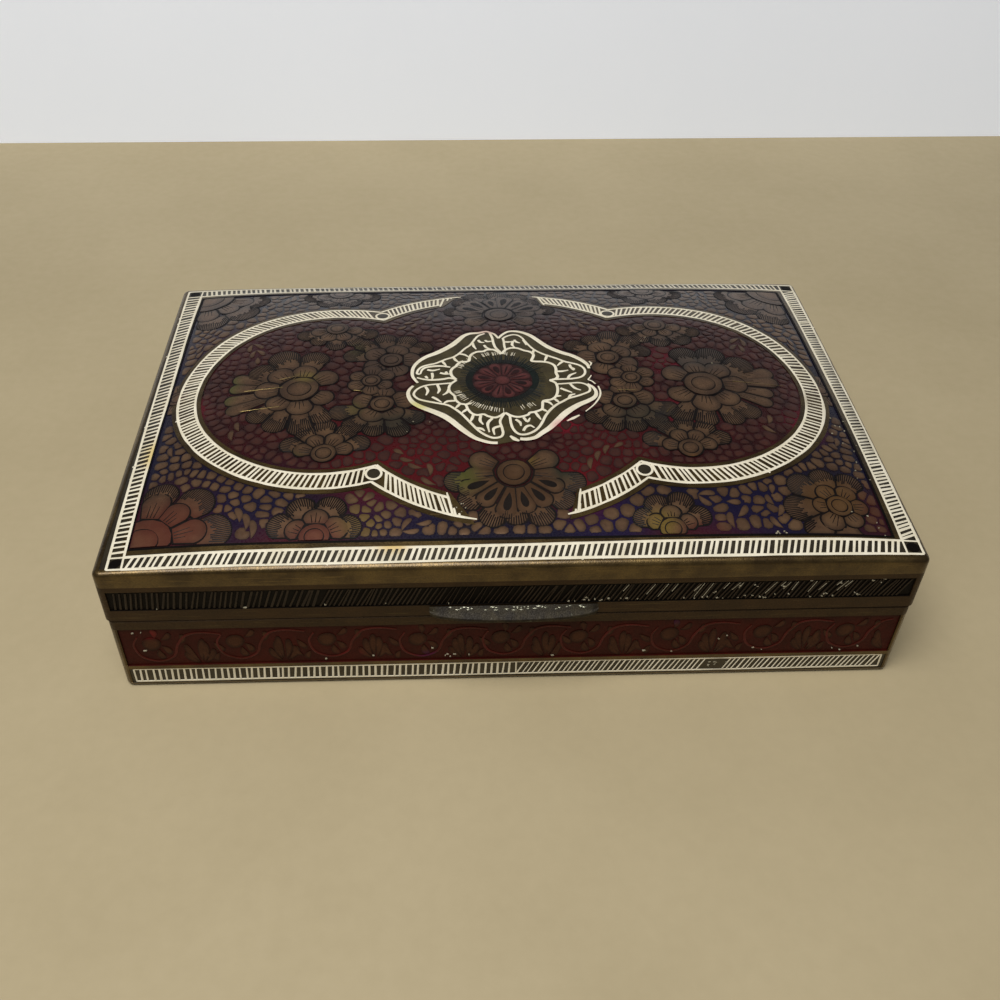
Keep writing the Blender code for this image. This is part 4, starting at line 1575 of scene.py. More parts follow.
class Skin:
    """A closed sheet of rings, each joined to the ring before it."""

    def __init__(self) -> None:
        """Start with no rings."""
        self.points: list[Array] = []
        self.faces: list[tuple[int, ...]] = []
        self.marks: list[int] = []
        self.before: Array | None = None
        self.total = 0

    def add(self, ring: Ring, heights: float | Array, mark: int = 0, panel_mark: int | None = None) -> None:
        """Add a ring and join it to the one before.

        Args:
            ring: Its points, the order of its places, and which of them lie in a panel.
            heights: The points' heights.
            mark: The finish of the faces up to it.
            panel_mark: The finish of the faces in its panels.
        """
        points, order, panels = ring
        heights = np.broadcast_to(heights, len(points))
        places = order + self.total
        if self.before is not None:
            for here in range(len(places)):
                after = (here + 1) % len(places)
                corners = (self.before[here], self.before[after], places[after], places[here])
                face = tuple(int(c) for c in dict.fromkeys(corners))
                if len(face) > 2:
                    self.faces.append(face)
                    in_panel = panel_mark is not None and panels[here] and panels[after]
                    self.marks.append(panel_mark if in_panel else mark)
        self.points.append(np.column_stack((points, heights)))
        self.before = places
        self.total += len(points)

    def finish(self, name: str, finishes: Sequence[Finish], slot: Slot, replaces: str, tint: Tint,
               choose: Callable[[Array, Array], Array] | None = None) -> None:
        """Show the skin.

        Args:
            name: The piece's name.
            finishes: The finishes that the marks count through.
            slot: The record's slot.
            replaces: The solid that it stands for.
            tint: The stains and painted reflection on it.
            choose: Chooses marks again from the faces' middles and marks.
        """
        drawn = np.vstack(self.points)
        mesh = new_mesh(name, drawn * MM, faces=self.faces)
        marks = np.array(self.marks)
        if choose is not None:
            marks = choose(np.array([drawn[list(face)].mean(axis=0) for face in self.faces]), marks)
        mesh.polygons.foreach_set("material_index", marks.astype(np.int32))
        show(mesh, drawn, slot, finishes, tint, 32.0, replaces)


@dataclass(frozen=True)
class LidShell:
    """The lid: crowned sheet with a straight skirt, a hatched bed on each side and a sunk field."""

    crown: Crown
    cartouche: Cartouche
    foot: float
    sheet: float = 1.2
    edge_round: float = 1.0
    hatch: Point = (21.9, 26.65)
    hatch_depth: float = 0.3
    border: Point = (1.4, 4.4)
    border_relief: float = -0.12
    field_inset: float = 5.9
    field_relief: float = -0.22
    metal_relief: float = -0.05
    step: float = 0.02

    def relief(self, points: Array, base: float) -> Array:
        """Heights on the crown with the unevenness of hand raised sheet."""
        x, y = points.T
        dents = np.sin(x / 5.1 + 1.3) * np.sin(y / 4.3 + 0.4) + np.sin((x + y) / 7.7) * np.sin((x - 2 * y) / 6.1)
        return self.crown.height(x, y) + base - 0.02 * (1 + dents / 2)

    def build(self, tint: Tint) -> None:
        """Make the lid's shell.

        Args:
            tint: The stains and painted reflection on the enamel ground.
        """
        plan, skin = Plan(self.crown.half_length, self.crown.half_width), Skin()
        ridge = plan.ridge(plan.half_length - plan.half_width)

        def below(ring: Ring, drop: float = 0.0, mark: int = 1) -> None:
            """Add a ring of the ceiling."""
            skin.add(ring, self.crown.height(*ring[0].T) - self.sheet - drop, mark)

        def above(ring: Ring, relief: float, mark: int, drop: float = 0.0) -> None:
            """Add a ring of the face."""
            skin.add(ring, self.relief(ring[0], relief) - drop, mark)

        below(ridge, mark=0)
        for inset in np.linspace(plan.half_width - 3.0, self.sheet + 1.0, 16):
            below(plan.ring(inset))
        for turn in np.radians((30, 60, 90)):
            below(plan.ring(self.sheet + 1.0 - sin(turn)), 1 - cos(turn))
        (low, high), deep = self.hatch, self.hatch_depth
        # Mark 7 is the duller brass whose darker colour is painted shade: the skirt below the hatched band and the
        # strip just above it
        for inset, recess, height, mark, panel_mark in (
                (self.sheet, 0, self.foot + 0.15, 1, None), (self.sheet - 0.15, 0, self.foot, 1, None),
                (0.15, 0, self.foot, 0, None), (0, 0, self.foot + 0.15, 0, None), (0, 0, low - self.step, 7, None),
                (0, deep, low, 7, 2), (0, deep, high, 7, 2), (0, 0, high + self.step, 7, 2),
                (0, 0, high + 1.2, 7, None)):
            skin.add(plan.ring(inset, recess), height, mark, panel_mark)
        for turn in np.radians(np.linspace(0, 90, 6)):
            above(plan.ring(self.edge_round * (1 - cos(turn))), 0.0, 0, self.edge_round * (1 - sin(turn)))
        for inset, relief, mark in (
                (self.border[0], self.metal_relief, 0), (self.border[0] + self.step, self.border_relief, 5),
                (self.border[1], self.border_relief, 5), (self.border[1] + self.step, self.metal_relief, 5),
                (self.field_inset - 0.5, self.metal_relief, 0), (self.field_inset, self.metal_relief, 6),
                (self.field_inset + self.step, self.field_relief, 3)):
            above(plan.ring(inset), relief, mark)
        for inset in np.arange(self.field_inset + 1.0, plan.half_width - 0.8, 1.0):
            above(plan.ring(inset), self.field_relief, 3)
        above(ridge, self.field_relief, 3)
        skin.finish(
            "lid_shell", (AGED_BRASS, BARE_BRASS, BLACK_ENAMEL, CRIMSON_ENAMEL, NAVY_ENAMEL, BORDER_BRASS, BLACK_ENAMEL,
            SHADED_DULL_BRASS), Slot.LID, "lid", tint, self.choose)

    def choose(self, middles: Array, marks: Array) -> Array:
        """Give the ground outside the cartouche its blue."""
        outside = ~self.cartouche.holds(middles[:, 0], middles[:, 1], -self.cartouche.width / 2)
        return np.where((marks == 3) & outside, 4, marks)


@dataclass(frozen=True)
class TrayShell:
    """The tray: one vessel with two sunk bands on each side and a rim that guides the lid."""

    half_length: float
    half_width: float
    top: float
    foot_round: float = 1.0
    ladder: Point = (1.1, 5.1)
    ladder_depth: float = 0.14
    vine: Point = (6.1, 16.4)
    vine_depth: float = 0.3
    sheet: float = 1.2
    ledge_inset: float = 1.5
    rim_inset: float = 2.4
    rim_height: float = 5.0
    rim_lap: float = 6.0
    step: float = 0.02

    def build(self, tint: Tint) -> None:
        """Make the tray's shell.

        Args:
            tint: The stains on its bands.
        """
        plan, skin = Plan(self.half_length, self.half_width), Skin()
        ridge, turned = plan.ridge(plan.half_length - plan.half_width), self.foot_round
        skin.add(ridge, 0.0)
        for inset in np.linspace(plan.half_width - 4.0, turned, 8):
            skin.add(plan.ring(inset), 0.0)
        for turn in np.radians((22.5, 45, 67.5, 90)):
            skin.add(plan.ring(turned * (1 - sin(turn))), turned * (1 - cos(turn)))
        for (low, high), depth, mark in ((self.ladder, self.ladder_depth, 2), (self.vine, self.vine_depth, 3)):
            skin.add(plan.ring(0.0), low - self.step)
            for recess, height in ((depth, low), (depth, high), (0.0, high + self.step)):
                skin.add(plan.ring(0.0, recess), height, 0, mark)
        rim_top, rim_low, wall = self.top + self.rim_height, self.top - self.rim_lap, self.sheet + 0.25
        # Mark 4 is the duller brass whose darker colour is painted shade: the strip between the vine band and the seam
        for inset, height, mark in (
                (0.0, self.top - 0.2, 4), (0.2, self.top, 4), (self.ledge_inset, self.top, 1),
                (self.ledge_inset, rim_top - 0.2, 1), (self.ledge_inset + 0.2, rim_top, 1),
                (self.rim_inset - 0.2, rim_top, 1), (self.rim_inset, rim_top - 0.2, 1), (self.rim_inset, rim_low, 1),
                (wall, rim_low, 1), (wall, self.sheet + 0.8, 1), (wall + 0.8, self.sheet, 1)):
            skin.add(plan.ring(inset), height, mark)
        for inset in np.linspace(8.0, plan.half_width - 4.0, 8):
            skin.add(plan.ring(inset), self.sheet, 1)
        skin.add(ridge, self.sheet, 1)
        skin.finish(
            "tray_shell", (AGED_BRASS, BARE_BRASS, BORDER_BRASS, WINE_ENAMEL, SHADED_DULL_BRASS), Slot.TRAY, "tray", tint)


@dataclass(frozen=True)
class HatchBand:
    """The black band on the lid's skirt, crossed by slanting brass strokes."""

    low: float = 21.9
    high: float = 26.65
    relief: float = -0.16
    thickness: float = 0.26
    margin: float = 0.2

    def slant(self, along: float, quarter: Quarter) -> tuple[float, float, float]:
        """Spacing, lean and width of the strokes at a place along a side."""
        if quarter is not Quarter.FRONT:
            return (1.15, 1.6, 0.62)
        if along < -36:
            return (1.06, 1.6 + 0.03 * (along + 36), 0.46)
        if -14 < along < 0:
            return (1.0, 2.0, 0.2)
        return (0.86, 2.0, 0.34)

    def build(self, hand: Hand) -> None:
        """Make the band's strokes on one side.

        Args:
            hand: What it is cut with.
        """
        side, rng, _ = hand
        brass, white = Strokes(), Strokes()
        low, high = self.low + self.margin, self.high - self.margin
        along = -side.half + 1.0
        while along < side.half - 2.6:
            spacing, lean, width = self.slant(along, side.quarter)
            end = along + lean * (1 + 0.12 * rng.standard_normal())
            brass.add((along, low + 0.1 * rng.random()), (end, high - 0.2 * rng.random()),
                      width * (1 + 0.1 * rng.standard_normal()), self.relief)
            if side.quarter is Quarter.FRONT and 16 < along < 60 and rng.random() < 0.25:
                share = 0.25 + 0.6 * rng.random()
                start = (along + 0.4 + lean * (1 - share), low + (high - low) * (1 - share))
                white.add(start, (end + 0.4, high - 0.2), 0.14, self.relief + 0.06)
            along += spacing * (1 + 0.1 * rng.standard_normal())
        brass.finish(f"hatch_strokes_{side.ending}", side, DARK_BRASS, self.thickness)
        if white.rows:
            white.finish(f"hatch_white_strokes_{side.ending}", side, DUST)


@dataclass(frozen=True)
class LadderBand:
    """The cream ladder along the tray's foot."""

    low: float = 1.5
    high: float = 4.95
    relief: float = -0.08

    def build(self, hand: Hand) -> None:
        """Make the ladder of one side.

        Args:
            hand: What it is cut with.
        """
        side, rng, tint = hand
        rails, strokes = Rails(), Strokes()
        front = side.quarter is Quarter.FRONT
        end = side.half - 0.8
        low, high = (straight((-end, height), (end, height), 2.0) for height in (self.low, self.high))
        low[:, 1] += 0.05 * np.sin(low[:, 0] / 9)
        high[:, 1] += 0.06 * np.sin(high[:, 0] / 12 + 1)
        middle = len(low) // 2 + 1
        stretches = ((slice(0, middle), 0.2), (slice(middle - 1, None), 1.5)) if front else ((slice(None), 0.7),)
        for part, lean in stretches:
            slanting = front and lean > 1
            ladder = Ladder(0.98 if slanting else 1.2, 0.3 if slanting else 0.44, self.relief, over_share=0.25)
            ladder.draw(low[part], high[part], lean, rails, strokes, rng, ((0.52, 0.575),) if slanting else ())
            if slanting:
                rails.add(straight(low[part][0], high[part][0], 0.8), self.relief, 0.8)
        for end in (0, -1):
            rails.add(straight(low[end], high[end], 0.8), self.relief, 0.9)
        rails.finish(f"ladder_rails_{side.ending}", side, CREAM_PASTE, 0.38, 0.16, tint=tint)
        strokes.finish(f"ladder_strokes_{side.ending}", side, CREAM_PASTE, 0.16, tint=tint)


@dataclass(frozen=True)
class VineBand:
    """The scrolling vine on the tray's sides: a stem that loops, with buds and slender leaves."""

    middle: float = 11.2
    period: float = 16.7
    foot: float = -0.33
    top: float = -0.19
    loops: tuple[float, ...] = (-68, -52, -34.5, -17.5, -2, 13.5, 31, 48.5, 65)
    stem: tuple[Point, ...] = (
        (-3.0, 2.9), (-4.0, 0.6), (-3.0, -2.6), (0.2, -4.0), (3.2, -2.5), (4.3, 0.6), (6.2, 3.2), (9.2, 3.9),
        (12.8, 3.4))
    leaves: tuple[tuple[float, float, float, float, float, float], ...] = (
        (0.6, -0.6, 262, 2.8, 1.7, 20), (1.2, 0.4, 318, 2.8, 1.6, -20), (1.3, 2.2, 12, 2.6, 1.5, 30),
        (0.2, 2.6, 75, 2.4, 1.4, 20), (-3.9, -2.2, 228, 2.4, 1.3, 20), (-5.4, -3.6, 150, 3.4, 1.6, -30),
        (7.9, -4.6, 152, 4.0, 1.5, -26), (8.0, -4.4, 124, 5.6, 1.6, -16), (8.3, -4.2, 98, 6.4, 1.6, -6),
        (8.7, -4.4, 70, 5.8, 1.6, 12), (9.0, -4.6, 42, 4.4, 1.5, 22), (5.0, 1.0, 62, 2.6, 1.4, 20),
        (11.2, 1.2, 300, 3.0, 1.5, 10), (3.0, 4.2, 150, 2.6, 1.4, 20))

    def build(self, hand: Hand) -> None:
        """Make the vine of one side.

        Args:
            hand: What it is cut with.
        """
        side, rng, tint = hand
        stems, leaves, buds = Rails(), Relief(), Relief()
        limit = side.half - 1.0
        for loop in self.loops:
            if abs(loop) + 4.5 > limit:
                continue
            shift = np.array((loop, self.middle)) + 0.2 * rng.standard_normal(2)
            line = flowing(self.stem) + shift
            line = line[np.abs(line[:, 0]) < limit]
            stems.add(line, -0.22, (0.7, 1.1, 1.0, 1.2, 0.8))
            buds.pad(disc(shift + (-0.6, 1.0), 1.8, 16, 0.05), self.top, self.foot, 0.03)
            for x, z, turn, length, breadth, bend in self.leaves:
                shape = leaf(shift + (x, z), turn + 4 * rng.standard_normal(), length, breadth, bend)
                if np.abs(shape[:, 0]).max() < limit and shape[:, 1].min() > 6.2 and shape[:, 1].max() < 16.2:
                    leaves.pad(shape, self.top - 0.02, self.foot, 0.02, shares=(0.6, 1.0))
        stems.finish(f"vine_stems_{side.ending}", side, STEM_BRASS, 0.5, 0.12, tint=tint)
        leaves.finish(f"vine_leaves_{side.ending}", side, GLAZED_BRASS, tint=tint)
        buds.finish(f"vine_buds_{side.ending}", side, GLAZED_BRASS, tint=tint)


@dataclass(frozen=True)
class ThumbLip:
    """The crescent at the lid's front, thickest in the middle, with a rounded nose."""

    root: float
    top: float
    length: float = 31.4
    reach: float = 2.4
    end_reach: float = 0.7
    root_height: float = 2.4
    end_height: float = 1.6
    nose: float = 0.9
    nose_lift: float = 0.5
    nose_bulge: float = 0.4
    stations: int = 48
    nose_points: int = 7
    beads: int = 46
    bead_seed: int = 5

    def build(self) -> None:
        """Make the lip as one loft along its length."""
        rows = []
        for along in np.linspace(-1, 1, self.stations + 1):
            swell = sqrt(max(1 - along ** 2, 0.0))
            worn = 0.05 * sin(9 * along) * (1 - along ** 2)
            reach = self.end_reach + (self.reach - self.end_reach) * swell - abs(worn)
            height = self.end_height + (self.root_height - self.end_height) * swell
            middle = self.top - height + self.nose_lift
            x = along * self.length / 2
            section = [(x, self.root, self.top - height)]
            for turn in np.radians(np.linspace(-90, 90, self.nose_points)):
                out = reach - self.nose_bulge * (1 - cos(turn))
                section.append((x, self.root - out, middle + self.nose / 2 * sin(turn)))
            section.append((x, self.root - reach * 0.45, self.top - (self.top - middle) * 0.42))
            section.append((x, self.root, self.top))
            rows.append(np.array(section))
        faces = tube(len(rows), len(rows[0]))
        drawn = np.vstack(rows)
        show(new_mesh("thumb_lip_cast", drawn * MM, faces=faces), drawn, Slot.LIP, (TINNED_BRASS,), None, 50.0,
             "thumb_lip")
        self.build_beads(rows)

    def build_beads(self, rows: Sequence[Array]) -> None:
        """Set bright beads of solder on the slope along the root.

        Args:
            rows: The loft's sections.
        """
        rng = np.random.default_rng(self.bead_seed)
        shape = np.array(((1, 0, 0), (0, 1, 0), (-1, 0, 0), (0, -1, 0), (0, 0, 1), (0, 0, -1)))
        sides = [(here, (here + 1) % 4, 4) for here in range(4)] + [((here + 1) % 4, here, 5) for here in range(4)]
        points, faces = [], []
        for number in range(self.beads):
            low, high = rows[int(rng.integers(3, len(rows) - 3))][-2:]
            spot = low + (high - low) * rng.uniform(0.35, 0.85)
            faces += [tuple(6 * number + place for place in side) for side in sides]
            points.append(spot + shape * (rng.uniform(0.15, 0.6), 0.14, 0.12))
        drawn = np.vstack(points)
        show(new_mesh("thumb_lip_solder", drawn * MM, faces=faces), drawn, Slot.LIP, (SOLDER,), None, 50.0, "thumb_lip")


@dataclass(frozen=True)
class Studio:
    """Plain pale floor and paper, one large soft lamp overhead, and the photo's camera."""

    floor_half: float = 900.0
    wall_distance: float = 215.0
    wall_height: float = 110.0
    camera_place: tuple[float, float, float] = (-13.097, -186.271, 167.095)
    yaw: float = -2.0759
    pitch: float = 41.2536
    roll: float = 0.4340
    lens: float = 38.563
    shift: Point = (0.0291, 0.0015)
    lamp_place: tuple[float, float, float] = (-120.0, -230.0, 640.0)
    lamp_size: float = 460.0
    lamp_power: float = 4.3
    sky: float = 0.14

    def sheet(self, name: str, corners: Sequence[tuple[float, float, float]], finish: Finish) -> None:
        """Add one flat sheet of the set."""
        mesh = new_mesh(name, np.array(corners) * MM, faces=((0, 1, 2, 3),))
        mesh.materials.append(finish.build())
        made = bpy.data.objects.new(name, mesh)
        bpy.context.scene.collection.objects.link(made)

    def build(self) -> None:
        """Set the floor, the wall, the lamp, the sky and the camera."""
        half, far, high = self.floor_half, self.wall_distance, self.wall_height
        self.sheet("studio_floor", ((-half, -half, 0), (half, -half, 0), (half, far, 0), (-half, far, 0)), STUDIO_FLOOR)
        self.sheet("studio_wall", ((-half, far, 0), (half, far, 0), (half, far, high), (-half, far, high)), STUDIO_WALL)
        lamp = bpy.data.lights.new("soft_overhead", "AREA")
        lamp.shape = "DISK"
        lamp.size = self.lamp_size * MM
        lamp.energy = self.lamp_power
        lamp.color = (1.0, 0.98, 0.94)
        holder = bpy.data.objects.new("soft_overhead", lamp)
        holder.location = [value * MM for value in self.lamp_place]
        holder.rotation_euler = Vector(self.lamp_place).to_track_quat("Z", "Y").to_euler()
        bpy.context.scene.collection.objects.link(holder)
        world = bpy.data.worlds.new("studio_sky")
        world.use_nodes = True
        world.node_tree.nodes["Background"].inputs["Color"].default_value = linear("#e8ebf0")
        world.node_tree.nodes["Background"].inputs["Strength"].default_value = self.sky
        bpy.context.scene.world = world
        bpy.context.scene.view_settings.view_transform = "Standard"
        bpy.context.scene.view_settings.look = "None"
        self.aim()

    def aim(self) -> None:
        """Set the camera at the photo's place and angle."""
        yaw, pitch, roll = (radians(angle) for angle in (self.yaw, self.pitch, self.roll))
        turns = ((yaw, "Z"), (pi / 2 - pitch, "X"), (roll, "Z"))
        first, second, third = (Matrix.Rotation(angle, 4, axis) for angle, axis in turns)
        data = bpy.data.cameras.new("camera")
        data.lens, data.sensor_width = self.lens, 36.0
        data.shift_x, data.shift_y = self.shift
        data.clip_start = 0.01
        made = bpy.data.objects.new("camera", data)
        made.matrix_world = Matrix.Translation(Vector(self.camera_place) * MM) @ first @ second @ third
        bpy.context.scene.collection.objects.link(made)
        bpy.context.scene.camera = made


# Flower heads of the left and front, mirrored below where the box repeats them
END_FLOWER = Blossom((-42.5, -1.5), 4.0, (
    Petals(78, 142, 3, 7.0, 14.5, 1, fringed=True), Petals(160, 206, 4, 6.0, 15.5, 1),
    Petals(228, 298, 4, 7.0, 14.5, 1, fringed=True), Petals(35, 325, 7, 4.4, 9.0, 2)))
UPPER_FLOWER = Blossom((-23.5, 8.5), 2.4, (
    Petals(35, 165, 5, 4.6, 10.8, 1, fringed=True), Petals(0, 288, 5, 2.8, 6.4, 2)))
LOWER_FLOWER = Blossom((-25.0, -7.5), 2.4, (
    Petals(198, 325, 5, 4.6, 10.6, 1, fringed=True), Petals(20, 308, 5, 2.8, 6.2, 2)))
OVAL_FLOWER = Blossom((-27.5, 0.8), 1.9, (Petals(30, 330, 6, 2.2, 5.2, 3),))
EDGE_FLOWER = Blossom((-36.0, -22.5), 2.4, (
    Petals(22, 158, 5, 4.4, 9.4, 1, fringed=True), Petals(15, 165, 4, 2.6, 5.8, 2)))
CORNER_FLOWER = Blossom((-68.6, -43.0), 6.0, (
    Petals(12, 78, 3, 10.6, 16.4, 1, fringed=True), Petals(14, 80, 3, 6.4, 11.8, 2)))
FRONT_FLOWER = Blossom((-36.5, -43.0), 2.8, (
    Petals(22, 158, 4, 4.8, 9.2, 1, fringed=True), Petals(25, 155, 3, 3.0, 6.0, 2)))
PALMETTE = Blossom((0.8, -28.6), 3.2, (
    Petals(205, 335, 6, 4.0, 10.6, 2, drop=True), Petals(192, 348, 7, 8.6, 13.2, 1, fringed=True),
    Petals(150, 190, 2, 4.0, 9.4, 1), Petals(-10, 30, 2, 4.0, 9.4, 1)))
RIGHT_FRONT_FLOWER = Blossom((29.5, -42.6), 2.4, (
    Petals(25, 155, 4, 3.8, 8.0, 1, fringed=True), Petals(30, 150, 3, 2.6, 5.2, 2)))
RIGHT_BIG_FLOWER = Blossom((62.0, -37.0), 2.4, (
    Petals(60, 270, 6, 4.4, 9.8, 1, fringed=True), Petals(0, 300, 6, 2.6, 6.0, 2)))
SIDE_FLOWER = Blossom((-68.5, 0.0), 2.2, (Petals(100, -100, 5, 2.4, 5.4, 1),))

SPRAYS = (
    Spray((-14.0, -31.5), 118, 10.5, 4, 3.6), Spray((14.5, -30.5), 62, 10.5, 4, 3.6, bend=-25),
    Spray((-48.0, -43.0), 120, 9.0, 4, 4.2, 1.6), Spray((-20.5, -42.0), 30, 9.0, 3, 3.2),
    Spray((33.0, -33.5), 330, 8.0, 3, 3.6, 1.5), Spray((41.0, -42.5), 70, 8.0, 3, 3.6, 1.6),
    Spray((50.0, -42.5), 100, 8.0, 3, 3.2, 1.4, -20), Spray((-56.0, -20.0), 60, 9.0, 3, 3.6),
    Spray((56.0, -20.0), 120, 9.0, 3, 3.6, bend=-25), Spray((-66.0, -20.0), 80, 10.0, 4, 3.2),
    Spray((66.0, -20.0), 100, 10.0, 4, 3.2, bend=-20))

# Ground patches: stains of red and blue enamel; the wide bluish-grey patches at 0,36 and 0,34 are a painted reflection,
# the grey haze across the lid's back
GROUND_STAINS_AND_SHEEN = ColourPatches.read("""
    0,36:60,12:#12121c:0.5 0,34:14,9:#252520:0.5 -66,-38:12,9:#41090c:0.8 -38,-43:13,5:#470b10:0.8
    34,-43.5:12,4:#410b0d:0.75 68,-40:6,8:#370b0d:0.6 -26,-41:8,6:#100d22:0.7 18,-40:9,7:#140c34:0.8
    46,-38:14,7:#100a2c:0.7 -20,-38:8,5:#110c2a:0.7 -50,-34:12,9:#110c2a:0.7 -70,0:4,40:#131026:0.6
    36,7:4,6:#5f091d:0.6 36,-12:5,6:#60091b:0.6 61,-14:4,5:#630922:0.7 13.5,-31:6,8:#5e0911:0.7
    -25,-28:10,9:#580911:0.7 -12,-24:9,8:#550910:0.6 22,-20:9,8:#4c090e:0.6 -30,-13:7,5:#4e090e:0.5
    -64,-6:3,4:#63091d:0.6 -58,18:10,9:#390b18:0.5 12,-15.5:3,2.4:#6d0c1d:0.8""")
# Metal patches: coloured stains; the wide grey patch at 0,36 is a painted reflection across the lid's back
METAL_STAINS_AND_SHEEN = ColourPatches.read("""
    0,36:70,14:#26242a:0.5 -58,1:2.5,7:#62682c:0.55 -41.5,2.8:2.2,1.8:#8c7c3c:0.6
    -8.5,-30:3,3.4:#5c6a24:0.55 3.5,-25:1.8,1.2:#8c7430:0.6 0.8,-33:9,8:#4e3218:0.6
    -64,-40:9,7:#6c261a:0.55 -36,-43:6,4:#621a12:0.55 -28,-40:4,4:#6e5a28:0.6 27.5,-41.5:3,3.4:#846e24:0.6
    35,-43:5,2.6:#5a1a12:0.55 62,-35:7,5:#6c4a1c:0.55 -20,-14:9,4:#16241e:0.7 29,-13:8,5:#1e2c24:0.55
    11,-28:3,4:#1a3026:0.6 42,10:12,7:#3a4244:0.5 -31,13:2,3:#5c5c2c:0.5 -31,-9:2,2.4:#5a5828:0.5
    37,-26.5:2.6,1.6:#b87a28:0.7 -42,-25:2.6,3:#56562a:0.5 69,-38:3,8:#501212:0.5 -23,6:9,9:#3c3230:0.4""")
# Dark pieces: the wide grey patch at 0,36 is a painted reflection across the lid's back; the brown one at the palmette
# is a stain
DARK_STAINS_AND_SHEEN = ColourPatches.read("""
    0,36:70,14:#26262c:0.4 0.8,-32:10,9:#241a10:0.3""")
# Cream patches: stains of dirt and colour; the long grey patch at 0,47 is a painted reflection along the lid's back
# edge
CREAM_STAINS_AND_SHEEN = ColourPatches.read("""
    -70.8,-18:1.5,4:#d8b84a:0.7 -22,-45.6:3,1.2:#d8b04a:0.7 -17.5,-8.4:2.4,1.6:#c8c060:0.7
    11.5,-15.6:2.2,2:#d06078:0.6 -2.5,19.8:2.5,1:#c09088:0.6 64.8,-6:2,4:#7a6a50:0.5 0,47:80,4:#8c8880:0.35""")
FRONT_STAINS = ColourPatches.read("""
    -69,15:2,1.4:#7c0e1c:0.6 -31,8.5:2.4,1.4:#6c0e16:0.5 -16,7.5:2.2,1.2:#4a1040:0.6
    30,15.8:2.6,1:#44103c:0.6 41,3.4:2,2.6:#787468:0.7""")


@dataclass(frozen=True)
class Wear:
    """Scratches down to bright brass, and flecks of cream and dust."""

    scratches: tuple[tuple[Point, Point], ...] = (
        ((-54, -1.2), (-46, -0.6)), ((-31, -2.6), (-29.2, -3.0)), ((49, -0.3), (60, -0.8)), ((24, -3.7), (28, -3.9)),
        ((-47, 2.2), (-43.5, 3.2)), ((-44, 2.0), (-43.2, 3.4)), ((-54, -8.2), (-46, -7.4)), ((33, -11.5), (34.5, -9.6)))
    fleck_areas: tuple[tuple[float, float, float, float, int], ...] = (
        (70, -20, 4, 12, 16), (-19, -16, 4, 4, 3), (-66, 2, 2, 10, 4), (62, 18, 4, 8, 3), (35, 10, 12, 8, 4),
        (50, -43.6, 2, 0.3, 6), (-10, -37.5, 1.6, 1.4, 9), (66, -40, 3, 5, 5))
    front_flecks: tuple[tuple[float, float, float, float, int], ...] = (
        (38, 22.6, 28, 0.5, 34), (50, 25, 20, 1.6, 12), (10, 7.2, 60, 0.6, 12), (41, 3.1, 2.0, 1.0, 12),
        (-40, 22.3, 30, 0.4, 5), (20, 11, 50, 4, 6), (-71.5, 11, 1.5, 5, 4))
    seam: float = 19.0

    def build(self, crown: Crown, rng: Rng) -> None:
        """Make the scratches and flecks.

        Args:
            crown: The lid's face.
            rng: Where the flecks fall.
        """
        bright, flecks = Strokes(), Relief()
        for start, end in self.scratches:
            bright.add(start, end, 0.2, -0.05)
        bright.finish("bright_scratches", crown, BRIGHT_BRASS, 0.08, 0.4)
        for middle in self.falls(self.fleck_areas, rng):
            if abs(middle[0]) <= 74.5 and abs(middle[1]) <= 48.5:
                shape = disc(middle, rng.uniform(0.08, 0.2), 7, 0.3, rng.uniform(0, 6))
                flecks.pad(shape, -0.05, -0.3, shares=(1.0,))
        flecks.finish("white_flecks", crown, DUST)

    def build_front(self, lid_side: Side, tray_side: Side, rng: Rng) -> None:
        """Make the flecks on the front of lid and tray.

        Args:
            lid_side: The lid's front.
            tray_side: The tray's front.
            rng: Where they fall.
        """
        piles = {Slot.LID: (Relief(), lid_side), Slot.TRAY: (Relief(), tray_side)}
        for middle in self.falls(self.front_flecks, rng):
            shape = disc((0, 0), rng.uniform(0.07, 0.16), 6, 0.3, rng.uniform(0, 6))
            pile = piles[Slot.LID if middle[1] > self.seam else Slot.TRAY][0]
            pile.pad(middle + shape * (rng.uniform(1, 2.2), 1), -0.02, -0.31, shares=(1.0,))
        for slot, (pile, side) in piles.items():
            pile.finish(f"front_flecks_{slot.name.lower()}", side, DUST)

    @staticmethod
    def falls(areas: Sequence[tuple[float, ...]], rng: Rng) -> Iterator[Array]:
        """Places in each area, one after the other."""
        for x, y, reach_x, reach_y, count in areas:
            for _ in range(count):
                yield np.array((x, y)) + rng.uniform(-1, 1, 2) * (reach_x, reach_y)


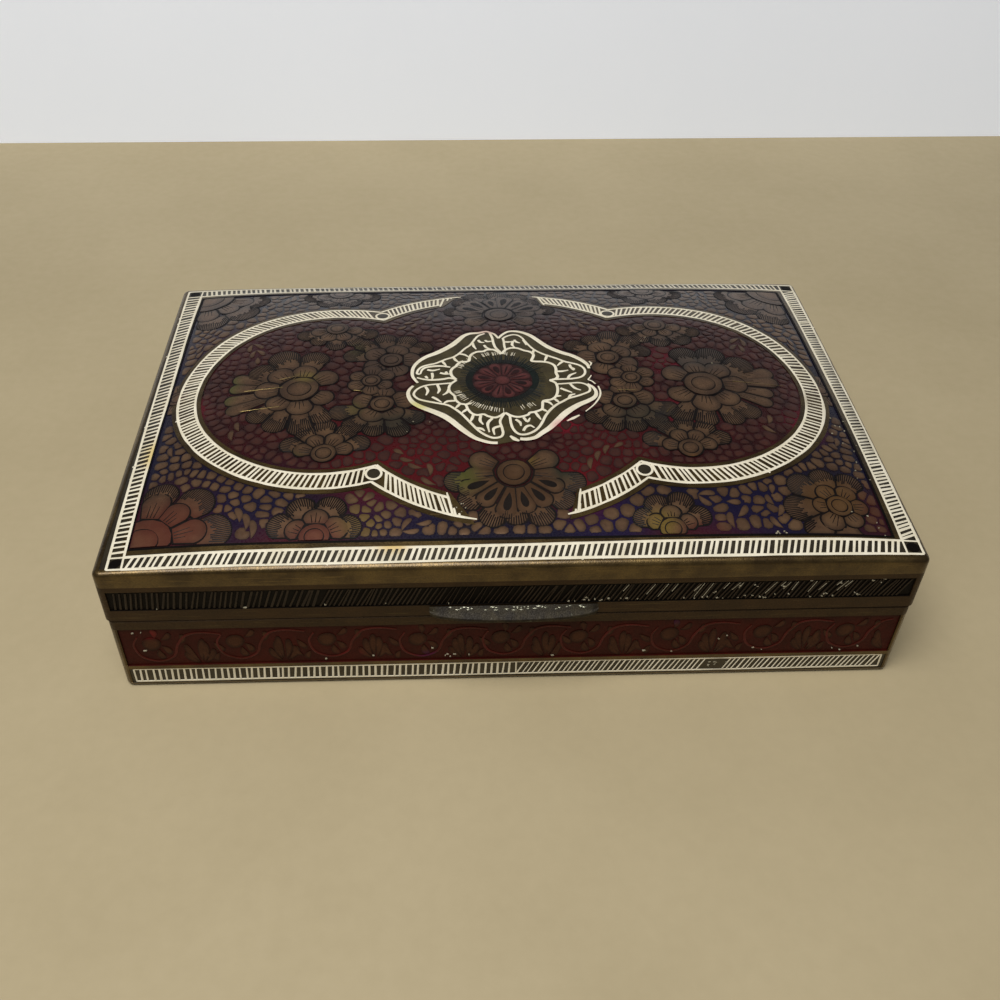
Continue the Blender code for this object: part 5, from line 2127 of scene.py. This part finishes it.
@dataclass(frozen=True)
class TrinketBox:
    """The whole box: shells, lip, and the ornament on the lid and the sides."""

    seed: int = 11
    tray_top: float = 18.7
    field_margin: float = 6.4
    band_halves: Point = (48.0, 74.25)

    def build(self) -> None:
        """Build and dress every piece."""
        lid, tray, lip = (np.array(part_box(node)) / MM for node in ("lid", "tray", "thumb_lip"))
        crown = Crown(*lid[1])
        cartouche = Cartouche(crown.half_length, crown.half_width)
        hand = Hand(crown, np.random.default_rng(self.seed), CREAM_STAINS_AND_SHEEN)
        LidShell(crown, cartouche, lid[0][2]).build(GROUND_STAINS_AND_SHEEN)
        TrayShell(tray[1][0], tray[1][1], self.tray_top).build(None)
        ThumbLip(lip[1][1], lip[1][2]).build()
        Border().build(hand)
        cartouche.build(hand)
        self.build_field(crown, cartouche, hand)
        Wear().build(crown, hand.rng)
        self.build_sides(lid[1], tray[1], hand.rng)

    def build_field(self, crown: Crown, cartouche: Cartouche, hand: Hand) -> None:
        """Make the medallion and the engraved field round it."""
        canvas = Canvas(crown.half_length, crown.half_width)
        Medallion().build(hand, canvas)
        band = cartouche.holds(canvas.x, canvas.y, cartouche.edge + 0.2)
        band &= ~cartouche.holds(canvas.x, canvas.y, -cartouche.width - cartouche.edge - 0.2)
        canvas.taken |= band & (np.abs(canvas.x) > 11)
        flowers = FlowerField(cartouche, canvas, hand.rng)
        for side in (1, -1):
            for flower in (END_FLOWER, UPPER_FLOWER, LOWER_FLOWER, OVAL_FLOWER, SIDE_FLOWER):
                flowers.blossom(flower.mirrored(side, 1))
            for back in (1, -1):
                flowers.blossom(EDGE_FLOWER.mirrored(side, back))
            flowers.blossom(CORNER_FLOWER.mirrored(side, -1))
            flowers.blossom(FRONT_FLOWER.mirrored(side, -1))
        for flower in (
                CORNER_FLOWER, FRONT_FLOWER, RIGHT_FRONT_FLOWER, RIGHT_BIG_FLOWER, PALMETTE, PALMETTE.mirrored(1, -1)):
            flowers.blossom(flower)
        for spray in SPRAYS:
            flowers.spray(spray)
            flowers.spray(spray.mirrored(1, -1))
        flowers.fill(crown.half_length - self.field_margin, crown.half_width - self.field_margin)
        flowers.finish(crown, METAL_STAINS_AND_SHEEN, DARK_STAINS_AND_SHEEN)

    def build_sides(self, lid: Array, tray: Array, rng: Rng) -> None:
        """Make the bands on the four sides."""
        for quarter in Quarter:
            axis = 1 - quarter.value % 2
            half = self.band_halves[axis]
            lid_side, tray_side = Side(quarter, lid[axis], half, Slot.LID), Side(quarter, tray[axis], half, Slot.TRAY)
            front = quarter is Quarter.FRONT
            if front:
                Wear().build_front(lid_side, tray_side, rng)
            HatchBand().build(Hand(lid_side, rng))
            for band in (LadderBand(), VineBand()):
                band.build(Hand(tray_side, rng, FRONT_STAINS if front else None))


def main() -> None:
    """Build the box and its studio."""
    logging.basicConfig(level=logging.INFO, format="%(name)s: %(message)s")
    TrinketBox().build()
    Studio().build()
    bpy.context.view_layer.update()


if __name__ == "__main__":
    main()
